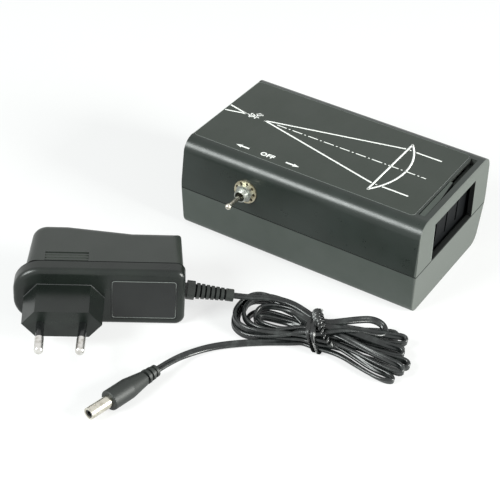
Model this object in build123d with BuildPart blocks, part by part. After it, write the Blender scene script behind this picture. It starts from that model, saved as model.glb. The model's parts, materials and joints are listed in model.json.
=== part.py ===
from build123d import *

import os
from math import asin, cos, degrees, pi, radians, sin, sqrt, tan

# Optics ray box: a two-shell lamp case that gives parallel light through a lens at one end
# and divergent light at the other, with its plug-in supply and tied lead beside it.
# Lengths are in millimetres. The origin is the centre of the case's underside; +X points at
# the parallel-light window, +Y at the side with the supply socket, and +Z up.

# ---------------------------------------------------------------- driving dimensions
# Case
case_length = 128.0
case_width = 77.0
case_height = 50.5
parting_height = 23.3
upper_end_draft = 2.0
lower_end_draft = 1.6
upper_side_draft = 0.5
lower_side_draft = 6.1
wall = 2.4
top_edge_radius = 7.0
base_edge_radius = 6.0
end_edge_radius = 0.5
tongue = 1.1
tongue_height = 1.5
tongue_gap = 0.15
parting_bevel = 0.25

# Height of the light path, under the lid
optical_drop = 16.9
optical_height = case_height - optical_drop

# Light windows: a wide one down to the parting line, and a small one about the light path
window_jamb = 16.1
window_width = case_width - 2 * window_jamb
window_drop = 6.8
window_top = case_height - window_drop
rear_window_width = 16.0
rear_window_height = 14.0

# Recess and printed sheet on the lid
sheet_side_margin = 7.1
sheet_end_margin = 8.1
sheet_half_width = case_width / 2 - sheet_side_margin
sheet_front_x = case_length / 2 - sheet_end_margin
sheet_recess = 0.5
sheet_thickness = 0.45
sheet_corner = 2.5
sheet_gap = 0.15

# Slit diaphragm and its slot in the lid
slot_setback = 5.5
slot_x = case_length / 2 - slot_setback
slot_gap = 3.4
slot_side_margin = 9.6
slot_length = case_width - 2 * slot_side_margin
diaphragm_thickness = 2.7
diaphragm_end_play = 0.5
diaphragm_side_play = 0.3
diaphragm_sunk = 0.1
diaphragm_low_edge = 3.2
diaphragm_step_y = 4.5
diaphragm_foot_drop = 2.5
diaphragm_foot = parting_height - diaphragm_foot_drop
nail_relief_length = 17.5
nail_relief_depth = 0.8
slit_count = 3
slit_width = 1.6
slit_pitch = 12.0
slit_end_margin = 1.7
slit_height = window_top - parting_height - 2 * slit_end_margin
guide_thickness = 2.0
guide_reach = 7.0

# Case screws
screw_end_margin = 14.0
screw_side_margin = 9.0
screw_x = case_length / 2 - screw_end_margin
screw_y = case_width / 2 - screw_side_margin
column_radius = 4.6
upper_column_radius = 3.6
screw_radius = 1.3
screw_hole_radius = 1.7
screw_pilot_gap = 0.05
screw_head_radius = 2.7
screw_head_height = 2.0
screw_cross_length = 2.6
screw_cross_width = 0.7
counterbore_radius = 3.0
counterbore_depth = 9.0
screw_length = 22.0

# Optics
lens_diameter = 47.0
lens_radius = 40.1
lens_edge = 1.5
lens_setback = 37.1
lens_flat_x = case_length / 2 - lens_setback
lens_roof_gap = 1.5
lens_height = 2 * (case_height - wall - lens_roof_gap - optical_height)
lens_play = 0.15
holder_thickness = 6.0
holder_side_gap = 5.5
holder_half_width = case_width / 2 - holder_side_gap
holder_low_corner = 6.0
holder_high_corner = 4.0
holder_seat = 1.5
holder_rim = 2.2
holder_play = 0.3
holder_rib_height = 4.0
holder_rib = 1.5
clip_thickness = 1.2
clip_width = 9.0
clip_height = 8.0
clip_corner = 1.0
clip_screw_head_radius = 2.5
clip_screw_head_height = 1.6

# Lamp carrier and the two light-emitting diodes
carrier_setback = 19.0
carrier_x = carrier_setback - case_length / 2
carrier_thickness = 2.0
carrier_half_width = 14.0
carrier_foot = 16.0
carrier_margin = 1.9
carrier_boss_height = 4.0
star_radius = 9.5
star_thickness = 1.6
star_notch_radius = 1.2
star_notches = 6
led_side = 5.0
led_thickness = 1.2
led_dome_radius = 2.0

# Driver board
board_x = (carrier_x + carrier_foot + lens_flat_x - holder_seat) / 2
board_length = 38.0
board_width = 46.0
board_thickness = 1.6
board_height = 8.0
board_boss_radius = 3.0
board_hole_inset = 3.5
choke_offset_x = 7.0
choke_offset_y = 6.0
choke_radius = 6.0
choke_bore_radius = 2.2
choke_rise = 6.0
capacitor_offset_x = 1.0
capacitor_offset_y = 9.0
capacitor_pitch = 12.0
capacitor_radius = 4.0
capacitor_rise = 9.5
terminal_offset_x = -13.0
terminal_offset_y = 5.0
terminal_width = 8.0
terminal_pitch = 5.0
terminal_rise = 8.0
terminal_hole_floor = 5.0
terminal_hole_radius = 1.6
terminal_holes = 4
wire_diameter = 1.4
wire_lead_out = 5.0
carrier_wire_gap = 3.2

# Toggle switch, on the operator's side
switch_setback = 36.3
switch_drop = 15.9
switch_x = switch_setback - case_length / 2
switch_z = case_height - switch_drop
bushing_radius = 3.0
bushing_reach = 5.7
bushing_hole_gap = 0.15
bushing_rim = 0.3
washer_radius = 6.0
washer_inner_radius = 4.1
washer_thickness = 0.6
washer_teeth = 12
washer_tooth_width = 1.1
nut_across_flats = 8.0
nut_thickness = 1.9
nut_turn = 12.0
lever_pivot_depth = 5.2
lever_length = 15.0
lever_ball_radius = 1.5
lever_root_radius = 0.95
lever_tip_radius = 1.15
pivot_ball_radius = 1.9
pivot_play = 0.05
lever_tail = 6.5
lever_throw = 12.0
lever_play = 0.15
switch_body_length = 13.2
switch_body_width = 7.9
switch_body_depth = 9.4
switch_body_wall = 1.0
switch_plate = 1.0
rocker_half_length = 4.6
rocker_thickness = 0.4
rocker_width = 2.6
rocker_rise = 8.0
rocker_gap = 0.35
blade_width = 2.0
blade_thickness = 0.8
blade_reach = 4.5
contact_gap = 0.12

# Supply socket, on the far side
jack_setback = 27.0
jack_x = jack_setback - case_length / 2
jack_z = optical_height
jack_radius = 5.4
jack_flange_radius = 6.8
jack_flange = 1.8
jack_flange_edge = 0.5
jack_length = 13.0
jack_bore_radius = 3.1
jack_bore_depth = 9.5
jack_pin_radius = 1.0
jack_hole_gap = 0.1
jack_nut_across_flats = 14.0
jack_nut_thickness = 2.0

# Plug-in supply: place on the table, and its own length, depth and height
supply_x = -53.2
supply_y = -149.31
supply_yaw = 33.55
supply_height = 30.0
supply_left = -22.8
supply_right = 54.0
supply_face = 19.2
supply_parting = 26.7
supply_back = 56.0
supply_back_end = 51.5
supply_wall = 2.0
supply_big_radius = 12.5
supply_small_radius = 4.5
supply_edge_radius = 2.4
back_shell_left = -17.6
back_shell_right = 53.2
back_shell_lean = 2.0
back_shell_step = 0.3
back_shell_bend = 29.7
back_shell_end_lean = 1.0
back_shell_corner = 7.0
back_shell_end_corner = 5.0
back_shell_bend_radius = 30.0
back_shell_edge_radius = 4.8
parting_slit = 0.4
parting_slit_depth = 0.5
back_shell_lap = 1.0
hexagon_width = 35.3
hexagon_height = 13.7
hexagon_flat = 23.6
snout_draft = 1.0
grip_left = -9.0
grip_right = 10.5
grip_depth_end = 33.6
grip_recess = 0.6
grip_ribs = 3
plate_left = 20.6
plate_right = 50.6
plate_low = 3.4
plate_high = 25.2
plate_recess = 0.4
plate_thickness = 0.35
plate_corner = 1.5

# Mains pins
pin_radius = 2.0
pin_length = 19.0
pin_sleeve_length = 10.0
pin_sleeve_radius = 1.82
pin_shank_radius = 1.5
pin_spacing_root = 18.6
pin_spacing_tip = 17.5
pin_tail = 5.0
pin_play = 0.05

# Supply electronics
supply_board_depth = 38.0
supply_board_thickness = 1.6
supply_board_play = 0.3
transformer_width = 17.0
transformer_depth = 9.0
transformer_rise = 15.0
transformer_core = 4.0
transformer_place = 18.0
reservoir_spread = 20.0
reservoir_short = 3.0
reservoir_radius = 4.5
reservoir_length = 14.0

# Lead, its strain relief, hank, tie and barrel plug
lead_diameter = 3.6
relief_collar_radius = 4.4
relief_collar = 3.5
relief_end_radius = 2.9
relief_end_collar = 3.5
relief_length = 21.5
relief_ribs = 6
relief_rib_width = 1.4
relief_droop = 7.8
relief_neck_radius = 3.2
relief_flange_radius = 4.2
relief_flange = 1.0
relief_flange_gap = 0.3
relief_stand_off = 0.8
hank_edge = 1.9
hank_waist = (-90.6, -74.4, 1.4, 10.4)
# Sections of the hank across its length: x, nearest y, furthest y, lowest z, highest z
hank_sections = (
    (-3.2, -87.5, -75.0, 1.2, 5.6),
    (1.0, -91.2, -70.6, 0.5, 6.6),
    (12.0, -94.4, -69.4, 0.5, 8.4),
    (24.0, -91.6, -72.0, 0.5, 9.6),
    (32.0, *hank_waist),
    (39.0, *hank_waist),
    (50.0, -91.4, -68.0, 0.5, 9.2),
    (60.0, -92.4, -57.6, 0.5, 7.8),
    (70.0, -91.8, -55.0, 0.5, 7.0),
    (78.0, -90.4, -64.5, 0.5, 6.0),
    (81.0, -88.0, -70.0, 1.2, 5.2),
)
tie_x = 35.5
tie_width = 4.2
tie_gap = 0.3
tie_strip = 0.8
tie_twist_radius = 1.3
tie_twist_length = 12.0
plug_axis_height = 4.8
plug_tip = (-16.1, -180.1)
plug_heading = 79.2
plug_sleeve_radius = 2.75
plug_bore_radius = 1.25
plug_liner_radius = 1.9
plug_sleeve_length = 11.3
plug_body_length = 20.6
plug_body_radius = 4.7
plug_neck_radius = 3.3
plug_relief_length = 7.6
plug_ribs = 3

os.makedirs("parts", exist_ok=True)


# ---------------------------------------------------------------- shared forms
def case_half_width(height, inset=0.0):
    """Half the case's width at a height, drawn in by inset."""
    draft = upper_side_draft if height > parting_height else lower_side_draft
    return case_width / 2 - inset - abs(height - parting_height) * tan(radians(draft))


def case_half_length(height, inset=0.0):
    """Half the case's length at a height, drawn in by inset."""
    draft = upper_end_draft if height > parting_height else lower_end_draft
    return case_length / 2 - inset - abs(height - parting_height) * tan(radians(draft))


def case_block(inset, end_edge=0.0):
    """The case's outer form with rounded long edges, drawn in by inset on every side."""
    side = [(case_half_width(z), z) for z in (0.0, parting_height, case_height)]
    mirrored = [(-y, z) for y, z in reversed(side)]
    with BuildPart() as block:
        with BuildSketch(Plane.YZ) as section:
            with BuildLine():
                Polyline(*side, *mirrored, close=True)
            make_face()
            fillet(section.vertices().group_by(Axis.Y)[0], base_edge_radius)
            fillet(section.vertices().group_by(Axis.Y)[-1], top_edge_radius)
            if inset:
                offset(amount=-inset)
        extrude(amount=case_length, both=True)
        for end in (-1, 1):
            for draft, slope in ((upper_end_draft, 1), (lower_end_draft, -1)):
                outward = (end * cos(radians(draft)), 0, slope * sin(radians(draft)))
                foot = (end * (case_length / 2 - inset), 0, parting_height)
                split(bisect_by=Plane(origin=foot, z_dir=outward), keep=Keep.BOTTOM)
        if end_edge:
            rims = block.faces().group_by(Axis.X)
            fillet((rims[0] + rims[-1]).edges(), end_edge)
    return block.part


def on_parting_rim(edge):
    """Whether an edge runs along the case's outer rim at the parting line."""
    middle = edge.center()
    outermost = max(abs(middle.X) - case_length / 2, abs(middle.Y) - case_width / 2)
    return abs(middle.Z - parting_height) < 0.01 and abs(outermost) < 0.01


def finish(builder, name):
    """Label a finished sub-part and write its STEP file."""
    builder.part.label = name
    export_step(builder.part, f"parts/{name}.step")


def cord_tube(points, diameter):
    """A round cord along straight runs joined by arcs as large as the runs allow."""
    corners = [Vector(*p) for p in points]
    radii = []
    for before, corner, after in zip(corners, corners[1:], corners[2:]):
        turn = radians((corner - before).get_angle(after - corner))
        shorter = min((corner - before).length, (after - corner).length)
        radii.append(0.45 * shorter / tan(turn / 2))
    with BuildPart() as tube:
        with BuildLine() as route:
            FilletPolyline(*points, radius=radii)
        with BuildSketch(Plane(origin=route.wires()[0] @ 0, z_dir=route.wires()[0] % 0)):
            Circle(diameter / 2)
        sweep(path=route.wires()[0])
    length = route.wires()[0].length
    section = pi * diameter**2 / 4
    print("cord radii", [round(r, 1) for r in radii], "length", round(length, 1))
    print("volume", round(tube.part.volume, 1), "section x length", round(section * length, 1))
    return tube


outer_form = case_block(0.0, end_edge_radius)
inner_form = case_block(wall)
floor_z = wall
roof_z = case_height - wall
screw_spots = [(x, y) for x in (-screw_x, screw_x) for y in (-screw_y, screw_y)]

# Seats of the panel-mounted pieces, where their flanges meet the drafted side walls
switch_wall = case_half_width(switch_z - washer_radius)
jack_wall = case_half_width(jack_z - jack_flange_radius)
wall_inside = case_half_width(switch_z + switch_body_width / 2, wall)
jack_wall_inside = case_half_width(jack_z + jack_nut_across_flats / 2, wall)
switch_panel = Plane(origin=(switch_x, -switch_wall, switch_z), x_dir=(1, 0, 0), z_dir=(0, -1, 0))
jack_panel = Plane(origin=(jack_x, jack_wall, jack_z), x_dir=(-1, 0, 0), z_dir=(0, 1, 0))

diaphragm_width = slot_length - diaphragm_end_play
diaphragm_skew = degrees(asin((slot_gap - diaphragm_thickness - diaphragm_side_play) / slot_length))
diaphragm_top = case_height - diaphragm_sunk
slot_back_x = slot_x - slot_gap / 2

# ---------------------------------------------------------------- case
with BuildPart() as bottom_shell:
    add(outer_form)
    add(inner_form, mode=Mode.SUBTRACT)
    split(bisect_by=Plane.XY.offset(parting_height), keep=Keep.BOTTOM)
    # Tongue that locates the upper shell
    with BuildSketch(Plane.XY.offset(parting_height)):
        Rectangle(case_length - 2 * (wall - tongue), case_width - 2 * (wall - tongue))
        Rectangle(case_length - 2 * wall, case_width - 2 * wall, mode=Mode.SUBTRACT)
        with Locations((case_length / 2, 0)):
            Rectangle(4 * wall, window_width, mode=Mode.SUBTRACT)
    extrude(amount=tongue_height)
    # Screw columns, with their heads sunk from below
    with BuildSketch(Plane.XY.offset(floor_z / 2)):
        with Locations(*screw_spots):
            Circle(column_radius - wall / 2)
    extrude(amount=parting_height - floor_z / 2)
    with BuildSketch(Plane.XY.offset(floor_z)):
        with Locations(*screw_spots):
            Circle(column_radius)
    extrude(amount=counterbore_depth)
    with Locations(*[Plane(origin=(x, y, 0), z_dir=(0, 0, -1)) for x, y in screw_spots]):
        CounterBoreHole(screw_hole_radius, counterbore_radius, counterbore_depth)
    # Ledge that carries the slit diaphragm's foot
    ledge_back_x = slot_back_x - guide_thickness
    with BuildSketch(Plane.XY.offset(floor_z / 2)):
        with Locations(((ledge_back_x + case_half_length(floor_z, wall / 2)) / 2, 0)):
            Rectangle(case_half_length(floor_z, wall / 2) - ledge_back_x, slot_length)
    extrude(amount=diaphragm_foot - floor_z / 2)
    # Two pairs of ribs that hold the lens holder's foot
    holder_back_x = lens_flat_x - holder_seat
    holder_front_x = holder_back_x + holder_thickness
    rib_offset = holder_thickness / 2 + holder_play + holder_rib / 2
    with BuildSketch(Plane.XY.offset(floor_z / 2)):
        for side in (-1, 1):
            for step in (-rib_offset, rib_offset):
                with Locations((holder_back_x + holder_thickness / 2 + step, side * holder_half_width / 2)):
                    Rectangle(holder_rib, holder_half_width / 2)
    extrude(amount=floor_z / 2 + holder_rib_height)
    # Bosses for the lamp carrier and the driver board
    carrier_boss_x = carrier_x + carrier_foot * 0.7
    carrier_bosses = [(carrier_boss_x, side * carrier_half_width * 0.6) for side in (-1, 1)]
    hole_x, hole_y = board_length / 2 - board_hole_inset, board_width / 2 - board_hole_inset
    board_bosses = [(board_x + end * hole_x, side * hole_y) for end in (-1, 1) for side in (-1, 1)]
    with BuildSketch(Plane.XY.offset(floor_z / 2)):
        with Locations(*carrier_bosses):
            Circle(board_boss_radius)
    extrude(amount=floor_z / 2 + carrier_boss_height)
    with BuildSketch(Plane.XY.offset(floor_z / 2)):
        with Locations(*board_bosses):
            Circle(board_boss_radius)
    extrude(amount=board_height - floor_z / 2)
    with BuildSketch(Plane.XY.offset(floor_z)):
        with Locations(*carrier_bosses, *board_bosses):
            Circle(screw_radius + screw_pilot_gap)
    extrude(amount=parting_height, mode=Mode.SUBTRACT)
    # Fine bevel that draws the parting line
    chamfer(bottom_shell.edges().filter_by(on_parting_rim), parting_bevel)
finish(bottom_shell, "bottom_shell")

with BuildPart() as top_shell:
    add(outer_form)
    add(inner_form, mode=Mode.SUBTRACT)
    split(bisect_by=Plane.XY.offset(parting_height), keep=Keep.TOP)
    # Rebate for the lower shell's tongue
    with BuildSketch(Plane.XY.offset(parting_height)):
        land = wall - tongue - tongue_gap
        Rectangle(case_length - 2 * land, case_width - 2 * land)
        Rectangle(case_length - 4 * wall, case_width - 4 * wall, mode=Mode.SUBTRACT)
    extrude(amount=tongue_height + tongue_gap, mode=Mode.SUBTRACT)
    # Screw columns
    with BuildSketch(Plane.XY.offset(parting_height)):
        with Locations(*screw_spots):
            Circle(upper_column_radius)
    extrude(amount=roof_z + wall / 4 - parting_height)
    # Guides behind the end wall for the slit diaphragm, each an angle open towards the window
    guide_outer_y = slot_length / 2 + guide_thickness
    with BuildSketch(Plane.XY.offset(diaphragm_foot + holder_rib_height)):
        for side in (-1, 1):
            with Locations((slot_back_x - guide_thickness / 2, side * (guide_outer_y - guide_reach / 2))):
                Rectangle(guide_thickness, guide_reach)
            leg_x = slot_back_x - guide_thickness
            leg_end = case_half_length(case_height, wall / 2)
            with Locations(((leg_x + leg_end) / 2, side * (guide_outer_y - guide_thickness / 2))):
                Rectangle(leg_end - leg_x, guide_thickness)
    extrude(amount=roof_z + wall / 4 - diaphragm_foot - holder_rib_height)
    with BuildSketch(Plane.XY.offset(parting_height)):
        with Locations(*screw_spots):
            Circle(screw_radius + screw_pilot_gap)
    extrude(amount=screw_length, mode=Mode.SUBTRACT)
    # Parallel-light window, down to the parting line
    with BuildSketch(Plane.YZ.offset(case_length / 2 - 2 * wall)):
        with Locations((0, (parting_height + window_top) / 2)):
            Rectangle(window_width, window_top - parting_height)
    extrude(amount=4 * wall, mode=Mode.SUBTRACT)
    # Divergent-light window
    with BuildSketch(Plane.YZ.offset(-case_length / 2 - 2 * wall)):
        with Locations((0, optical_height)):
            Rectangle(rear_window_width, rear_window_height)
    extrude(amount=4 * wall, mode=Mode.SUBTRACT)
    # Slot for the slit diaphragm
    with BuildSketch(Plane.XY.offset(roof_z - wall / 2)):
        with Locations((slot_x, 0)):
            Rectangle(slot_gap, slot_length)
    extrude(amount=3 * wall, mode=Mode.SUBTRACT)
    # Recess for the printed sheet, open to the rear end
    with BuildSketch(Plane.XY.offset(case_height - sheet_recess)) as recess:
        with Locations((sheet_front_x - case_length / 2, 0)):
            Rectangle(case_length, 2 * sheet_half_width)
        fillet(recess.vertices().group_by(Axis.X)[-1], sheet_corner)
    extrude(amount=2 * sheet_recess, mode=Mode.SUBTRACT)
    # Holes for the switch bushing and the supply socket
    with BuildSketch(switch_panel.offset(wall)):
        Circle(bushing_radius + bushing_hole_gap)
    extrude(amount=-4 * wall, mode=Mode.SUBTRACT)
    with BuildSketch(jack_panel.offset(wall)):
        Circle(jack_radius + jack_hole_gap)
    extrude(amount=-4 * wall, mode=Mode.SUBTRACT)
    chamfer(top_shell.edges().filter_by(on_parting_rim), parting_bevel)
finish(top_shell, "top_shell")

with BuildPart() as printed_sheet:
    sheet_back_x = -case_half_length(case_height) + sheet_gap
    sheet_end_x = sheet_front_x - sheet_gap
    with BuildSketch(Plane.XY.offset(case_height - sheet_recess)) as outline:
        with Locations(((sheet_back_x + sheet_end_x) / 2, 0)):
            Rectangle(sheet_end_x - sheet_back_x, 2 * (sheet_half_width - sheet_gap))
        fillet(outline.vertices().group_by(Axis.X)[-1], sheet_corner - sheet_gap)
    extrude(amount=sheet_thickness)
finish(printed_sheet, "printed_sheet")

with BuildPart() as case_screws:
    screw_head_z = counterbore_depth - screw_head_height
    with BuildSketch(Plane.XY.offset(screw_head_z)):
        with Locations(*screw_spots):
            Circle(screw_head_radius)
    extrude(amount=screw_head_height)
    with BuildSketch(Plane.XY.offset(screw_head_z)):
        with Locations(*screw_spots):
            Circle(screw_radius)
    extrude(amount=screw_length)
    with BuildSketch(Plane.XY.offset(screw_head_z)):
        for x, y in screw_spots:
            with Locations((x, y)):
                Rectangle(screw_cross_length, screw_cross_width)
                Rectangle(screw_cross_width, screw_cross_length)
    extrude(amount=screw_head_height / 2, mode=Mode.SUBTRACT)
finish(case_screws, "case_screws")

# ---------------------------------------------------------------- slit diaphragm
with BuildPart() as slit_diaphragm:
    blade = Plane(
        origin=(slot_x, 0, 0),
        x_dir=(-sin(radians(diaphragm_skew)), cos(radians(diaphragm_skew)), 0),
        z_dir=(cos(radians(diaphragm_skew)), sin(radians(diaphragm_skew)), 0),
    )
    half = diaphragm_width / 2
    with BuildSketch(blade):
        with BuildLine():
            Polyline(
                (-half, diaphragm_foot),
                (half, diaphragm_foot),
                (half, diaphragm_top - diaphragm_low_edge),
                (diaphragm_step_y, diaphragm_top - diaphragm_low_edge),
                (diaphragm_step_y, diaphragm_top),
                (-half, diaphragm_top),
                close=True,
            )
        make_face()
        with Locations((0, optical_height)):
            with GridLocations(slit_pitch, 1, slit_count, 1):
                SlotOverall(slit_height, slit_width, rotation=90, mode=Mode.SUBTRACT)
    extrude(amount=diaphragm_thickness / 2, both=True)
    # Finger-nail relief on the raised half's front face, deepest at the step
    relief_y = diaphragm_step_y - nail_relief_length
    with BuildSketch(Plane.XY.offset(diaphragm_top - diaphragm_low_edge)):
        with BuildLine():
            Polyline(
                (slot_x + diaphragm_thickness, relief_y),
                (slot_x + diaphragm_thickness, diaphragm_step_y + nail_relief_depth),
                (slot_x + diaphragm_thickness / 2 - nail_relief_depth, diaphragm_step_y + nail_relief_depth),
                (slot_x + diaphragm_thickness / 2 - nail_relief_depth, diaphragm_step_y - nail_relief_depth),
                (slot_x + diaphragm_thickness / 2 + nail_relief_depth / 2, relief_y),
                close=True,
            )
        make_face()
    extrude(amount=2 * diaphragm_low_edge, mode=Mode.SUBTRACT)
finish(slit_diaphragm, "slit_diaphragm")

# ---------------------------------------------------------------- lens and its holder
lens_sagitta = lens_radius - sqrt(lens_radius**2 - (lens_diameter / 2) ** 2)
lens_tip_x = lens_flat_x + lens_edge + lens_sagitta

with BuildPart() as lens:
    with BuildSketch(Plane.XZ) as half_section:
        with BuildLine():
            rim = Polyline(
                (lens_tip_x, optical_height),
                (lens_flat_x, optical_height),
                (lens_flat_x, optical_height + lens_diameter / 2),
                (lens_flat_x + lens_edge, optical_height + lens_diameter / 2),
            )
            RadiusArc(rim @ 1, rim @ 0, lens_radius)
        make_face()
    revolve(axis=Axis((0, 0, optical_height), (1, 0, 0)))
    with BuildSketch(Plane.YZ.offset(lens_flat_x)):
        with Locations((0, optical_height)):
            Rectangle(lens_diameter, lens_height)
    extrude(amount=lens_diameter, mode=Mode.INTERSECT)
finish(lens, "lens")

with BuildPart() as lens_holder:
    holder_low = floor_z
    holder_high = roof_z - holder_play
    with BuildSketch(Plane.YZ.offset(holder_back_x)) as frame:
        with BuildLine():
            Polyline(
                (-holder_half_width, holder_low + holder_low_corner),
                (-holder_half_width + holder_low_corner / 2, holder_low),
                (holder_half_width - holder_low_corner / 2, holder_low),
                (holder_half_width, holder_low + holder_low_corner),
                (holder_half_width, holder_high - holder_high_corner),
                (holder_half_width - holder_high_corner, holder_high),
                (-holder_half_width + holder_high_corner, holder_high),
                (-holder_half_width, holder_high - holder_high_corner),
                close=True,
            )
        make_face()
    extrude(amount=holder_thickness)
    # Light opening, and the pocket that the lens drops into from the window side
    with BuildSketch(Plane.YZ.offset(holder_back_x)):
        with Locations((0, optical_height)):
            Rectangle(lens_diameter - 2 * holder_rim, lens_height - 2 * holder_rim)
    extrude(amount=holder_thickness, mode=Mode.SUBTRACT)
    with BuildSketch(Plane.YZ.offset(lens_flat_x)):
        with Locations((0, optical_height)):
            Circle(lens_diameter / 2 + lens_play)
            Rectangle(lens_diameter, lens_height + 2 * lens_play, mode=Mode.INTERSECT)
    extrude(amount=holder_thickness, mode=Mode.SUBTRACT)
    with BuildSketch(Plane.YZ.offset(holder_front_x)):
        for side in (-1, 1):
            with Locations((side * (lens_diameter / 2 + clip_width / 2), optical_height)):
                Circle(screw_radius + screw_pilot_gap)
    extrude(amount=-holder_thickness * 0.8, mode=Mode.SUBTRACT)
finish(lens_holder, "lens_holder")

clip_centre = lens_diameter / 2 + clip_width / 4
with BuildPart() as lens_clips:
    with BuildSketch(Plane.YZ.offset(holder_front_x)):
        for side in (-1, 1):
            with Locations((side * clip_centre, optical_height)):
                RectangleRounded(clip_width, clip_height, clip_corner)
            with Locations((side * (lens_diameter / 2 + clip_width / 2), optical_height)):
                Circle(screw_hole_radius, mode=Mode.SUBTRACT)
    extrude(amount=clip_thickness)
finish(lens_clips, "lens_clips")

with BuildPart() as lens_clip_screws:
    with BuildSketch(Plane.YZ.offset(holder_front_x + clip_thickness)):
        for side in (-1, 1):
            with Locations((side * (lens_diameter / 2 + clip_width / 2), optical_height)):
                Circle(clip_screw_head_radius)
    extrude(amount=clip_screw_head_height)
    with BuildSketch(Plane.YZ.offset(holder_front_x + clip_thickness)):
        for side in (-1, 1):
            with Locations((side * (lens_diameter / 2 + clip_width / 2), optical_height)):
                Circle(screw_radius)
    extrude(amount=-clip_thickness - holder_thickness * 0.6)
finish(lens_clip_screws, "lens_clip_screws")

# ---------------------------------------------------------------- lamp carrier and diodes
carrier_foot_z = floor_z + carrier_boss_height
carrier_top = optical_height + star_radius + carrier_margin
carrier_face_x = carrier_x + carrier_thickness / 2

with BuildPart() as lamp_carrier:
    with BuildSketch(Plane.XZ) as angle:
        with BuildLine():
            Polyline(
                (carrier_x - carrier_thickness / 2, carrier_foot_z),
                (carrier_x + carrier_foot, carrier_foot_z),
                (carrier_x + carrier_foot, carrier_foot_z + carrier_thickness),
                (carrier_face_x, carrier_foot_z + carrier_thickness),
                (carrier_face_x, carrier_top),
                (carrier_x - carrier_thickness / 2, carrier_top),
                close=True,
            )
        make_face()
    extrude(amount=carrier_half_width, both=True)
    with BuildSketch(Plane.XY.offset(carrier_foot_z)):
        with Locations(*carrier_bosses):
            Circle(screw_hole_radius)
    extrude(amount=carrier_thickness, mode=Mode.SUBTRACT)
finish(lamp_carrier, "lamp_carrier")

with BuildPart() as carrier_screws:
    with BuildSketch(Plane.XY.offset(carrier_foot_z + carrier_thickness)):
        with Locations(*carrier_bosses):
            Circle(screw_head_radius)
    extrude(amount=screw_head_height)
    with BuildSketch(Plane.XY.offset(carrier_foot_z + carrier_thickness)):
        with Locations(*carrier_bosses):
            Circle(screw_radius)
    extrude(amount=-carrier_thickness - carrier_boss_height * 0.8)
finish(carrier_screws, "carrier_screws")


def star_board(direction, name):
    """A round metal-core board on one face of the carrier."""
    face = carrier_x + direction * carrier_thickness / 2
    with BuildPart() as board:
        with BuildSketch(Plane.YZ.offset(face)):
            with Locations((0, optical_height)):
                Circle(star_radius)
                with PolarLocations(star_radius, star_notches):
                    Circle(star_notch_radius, mode=Mode.SUBTRACT)
        extrude(amount=direction * star_thickness)
    finish(board, name)


def light_diode(direction, name):
    """A square diode package with a clear dome, on its star board."""
    base = carrier_x + direction * (carrier_thickness / 2 + star_thickness)
    with BuildPart() as diode:
        with BuildSketch(Plane.YZ.offset(base)):
            with Locations((0, optical_height)):
                Rectangle(led_side, led_side)
        extrude(amount=direction * led_thickness)
        with BuildSketch(Plane.YZ.offset(base)):
            with Locations((0, optical_height)):
                Circle(led_dome_radius)
        extrude(amount=direction * (led_thickness + led_dome_radius))
        far_end = diode.faces().sort_by(Axis.X)[-1 if direction > 0 else 0]
        fillet(far_end.edges(), led_dome_radius * 0.9)
    finish(diode, name)


star_board(1, "parallel_led_board")
star_board(-1, "divergent_led_board")
light_diode(1, "parallel_led")
light_diode(-1, "divergent_led")

# ---------------------------------------------------------------- driver board
with BuildPart() as driver_board:
    with BuildSketch(Plane.XY.offset(board_height)):
        with Locations((board_x, 0)):
            Rectangle(board_length, board_width)
        with Locations(*board_bosses):
            Circle(screw_hole_radius, mode=Mode.SUBTRACT)
    extrude(amount=board_thickness)
finish(driver_board, "driver_board")

board_top = board_height + board_thickness

with BuildPart() as board_screws:
    with BuildSketch(Plane.XY.offset(board_top)):
        with Locations(*board_bosses):
            Circle(screw_head_radius)
    extrude(amount=screw_head_height)
    with BuildSketch(Plane.XY.offset(board_top)):
        with Locations(*board_bosses):
            Circle(screw_radius)
    extrude(amount=-board_thickness - board_height / 2)
finish(board_screws, "board_screws")

with BuildPart() as driver_choke:
    with BuildSketch(Plane.XY.offset(board_top)):
        with Locations((board_x + choke_offset_x, choke_offset_y)):
            Circle(choke_radius)
            Circle(choke_bore_radius, mode=Mode.SUBTRACT)
    extrude(amount=choke_rise)
    fillet(driver_choke.faces().sort_by(Axis.Z)[-1].edges(), choke_rise / 5)
finish(driver_choke, "driver_choke")

with BuildPart() as driver_capacitors:
    with BuildSketch(Plane.XY.offset(board_top)):
        with Locations((board_x + capacitor_offset_x, -capacitor_offset_y)):
            with GridLocations(capacitor_pitch, 1, 2, 1):
                Circle(capacitor_radius)
    extrude(amount=capacitor_rise)
    fillet(driver_capacitors.faces().sort_by(Axis.Z)[-2:].edges(), capacitor_radius / 6)
finish(driver_capacitors, "driver_capacitors")

with BuildPart() as driver_terminals:
    with BuildSketch(Plane.XY.offset(board_top)):
        with Locations((board_x + terminal_offset_x, terminal_offset_y)):
            Rectangle(terminal_width, terminal_holes * terminal_pitch)
    extrude(amount=terminal_rise)
    with BuildSketch(Plane.XY.offset(board_top + terminal_hole_floor)):
        with Locations((board_x + terminal_offset_x, terminal_offset_y)):
            with GridLocations(1, terminal_pitch, 1, terminal_holes):
                Circle(terminal_hole_radius)
    extrude(amount=terminal_rise, mode=Mode.SUBTRACT)
finish(driver_terminals, "driver_terminals")

# ---------------------------------------------------------------- toggle switch
# Heights on the switch's own planes are measured out of the case, along the bushing
bushing_tip = bushing_reach
pivot_height = bushing_tip - lever_pivot_depth
flange_height = -(switch_wall - wall_inside)
body_height = flange_height - switch_plate
rocker_pivot_height = pivot_height - lever_tail - rocker_gap - rocker_thickness / 2
body_base_height = body_height - switch_body_depth
lever_swing = (bushing_tip - pivot_height) * tan(radians(lever_throw))
tip_clear_radius = lever_swing + lever_tip_radius / cos(radians(lever_throw)) + lever_play

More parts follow.
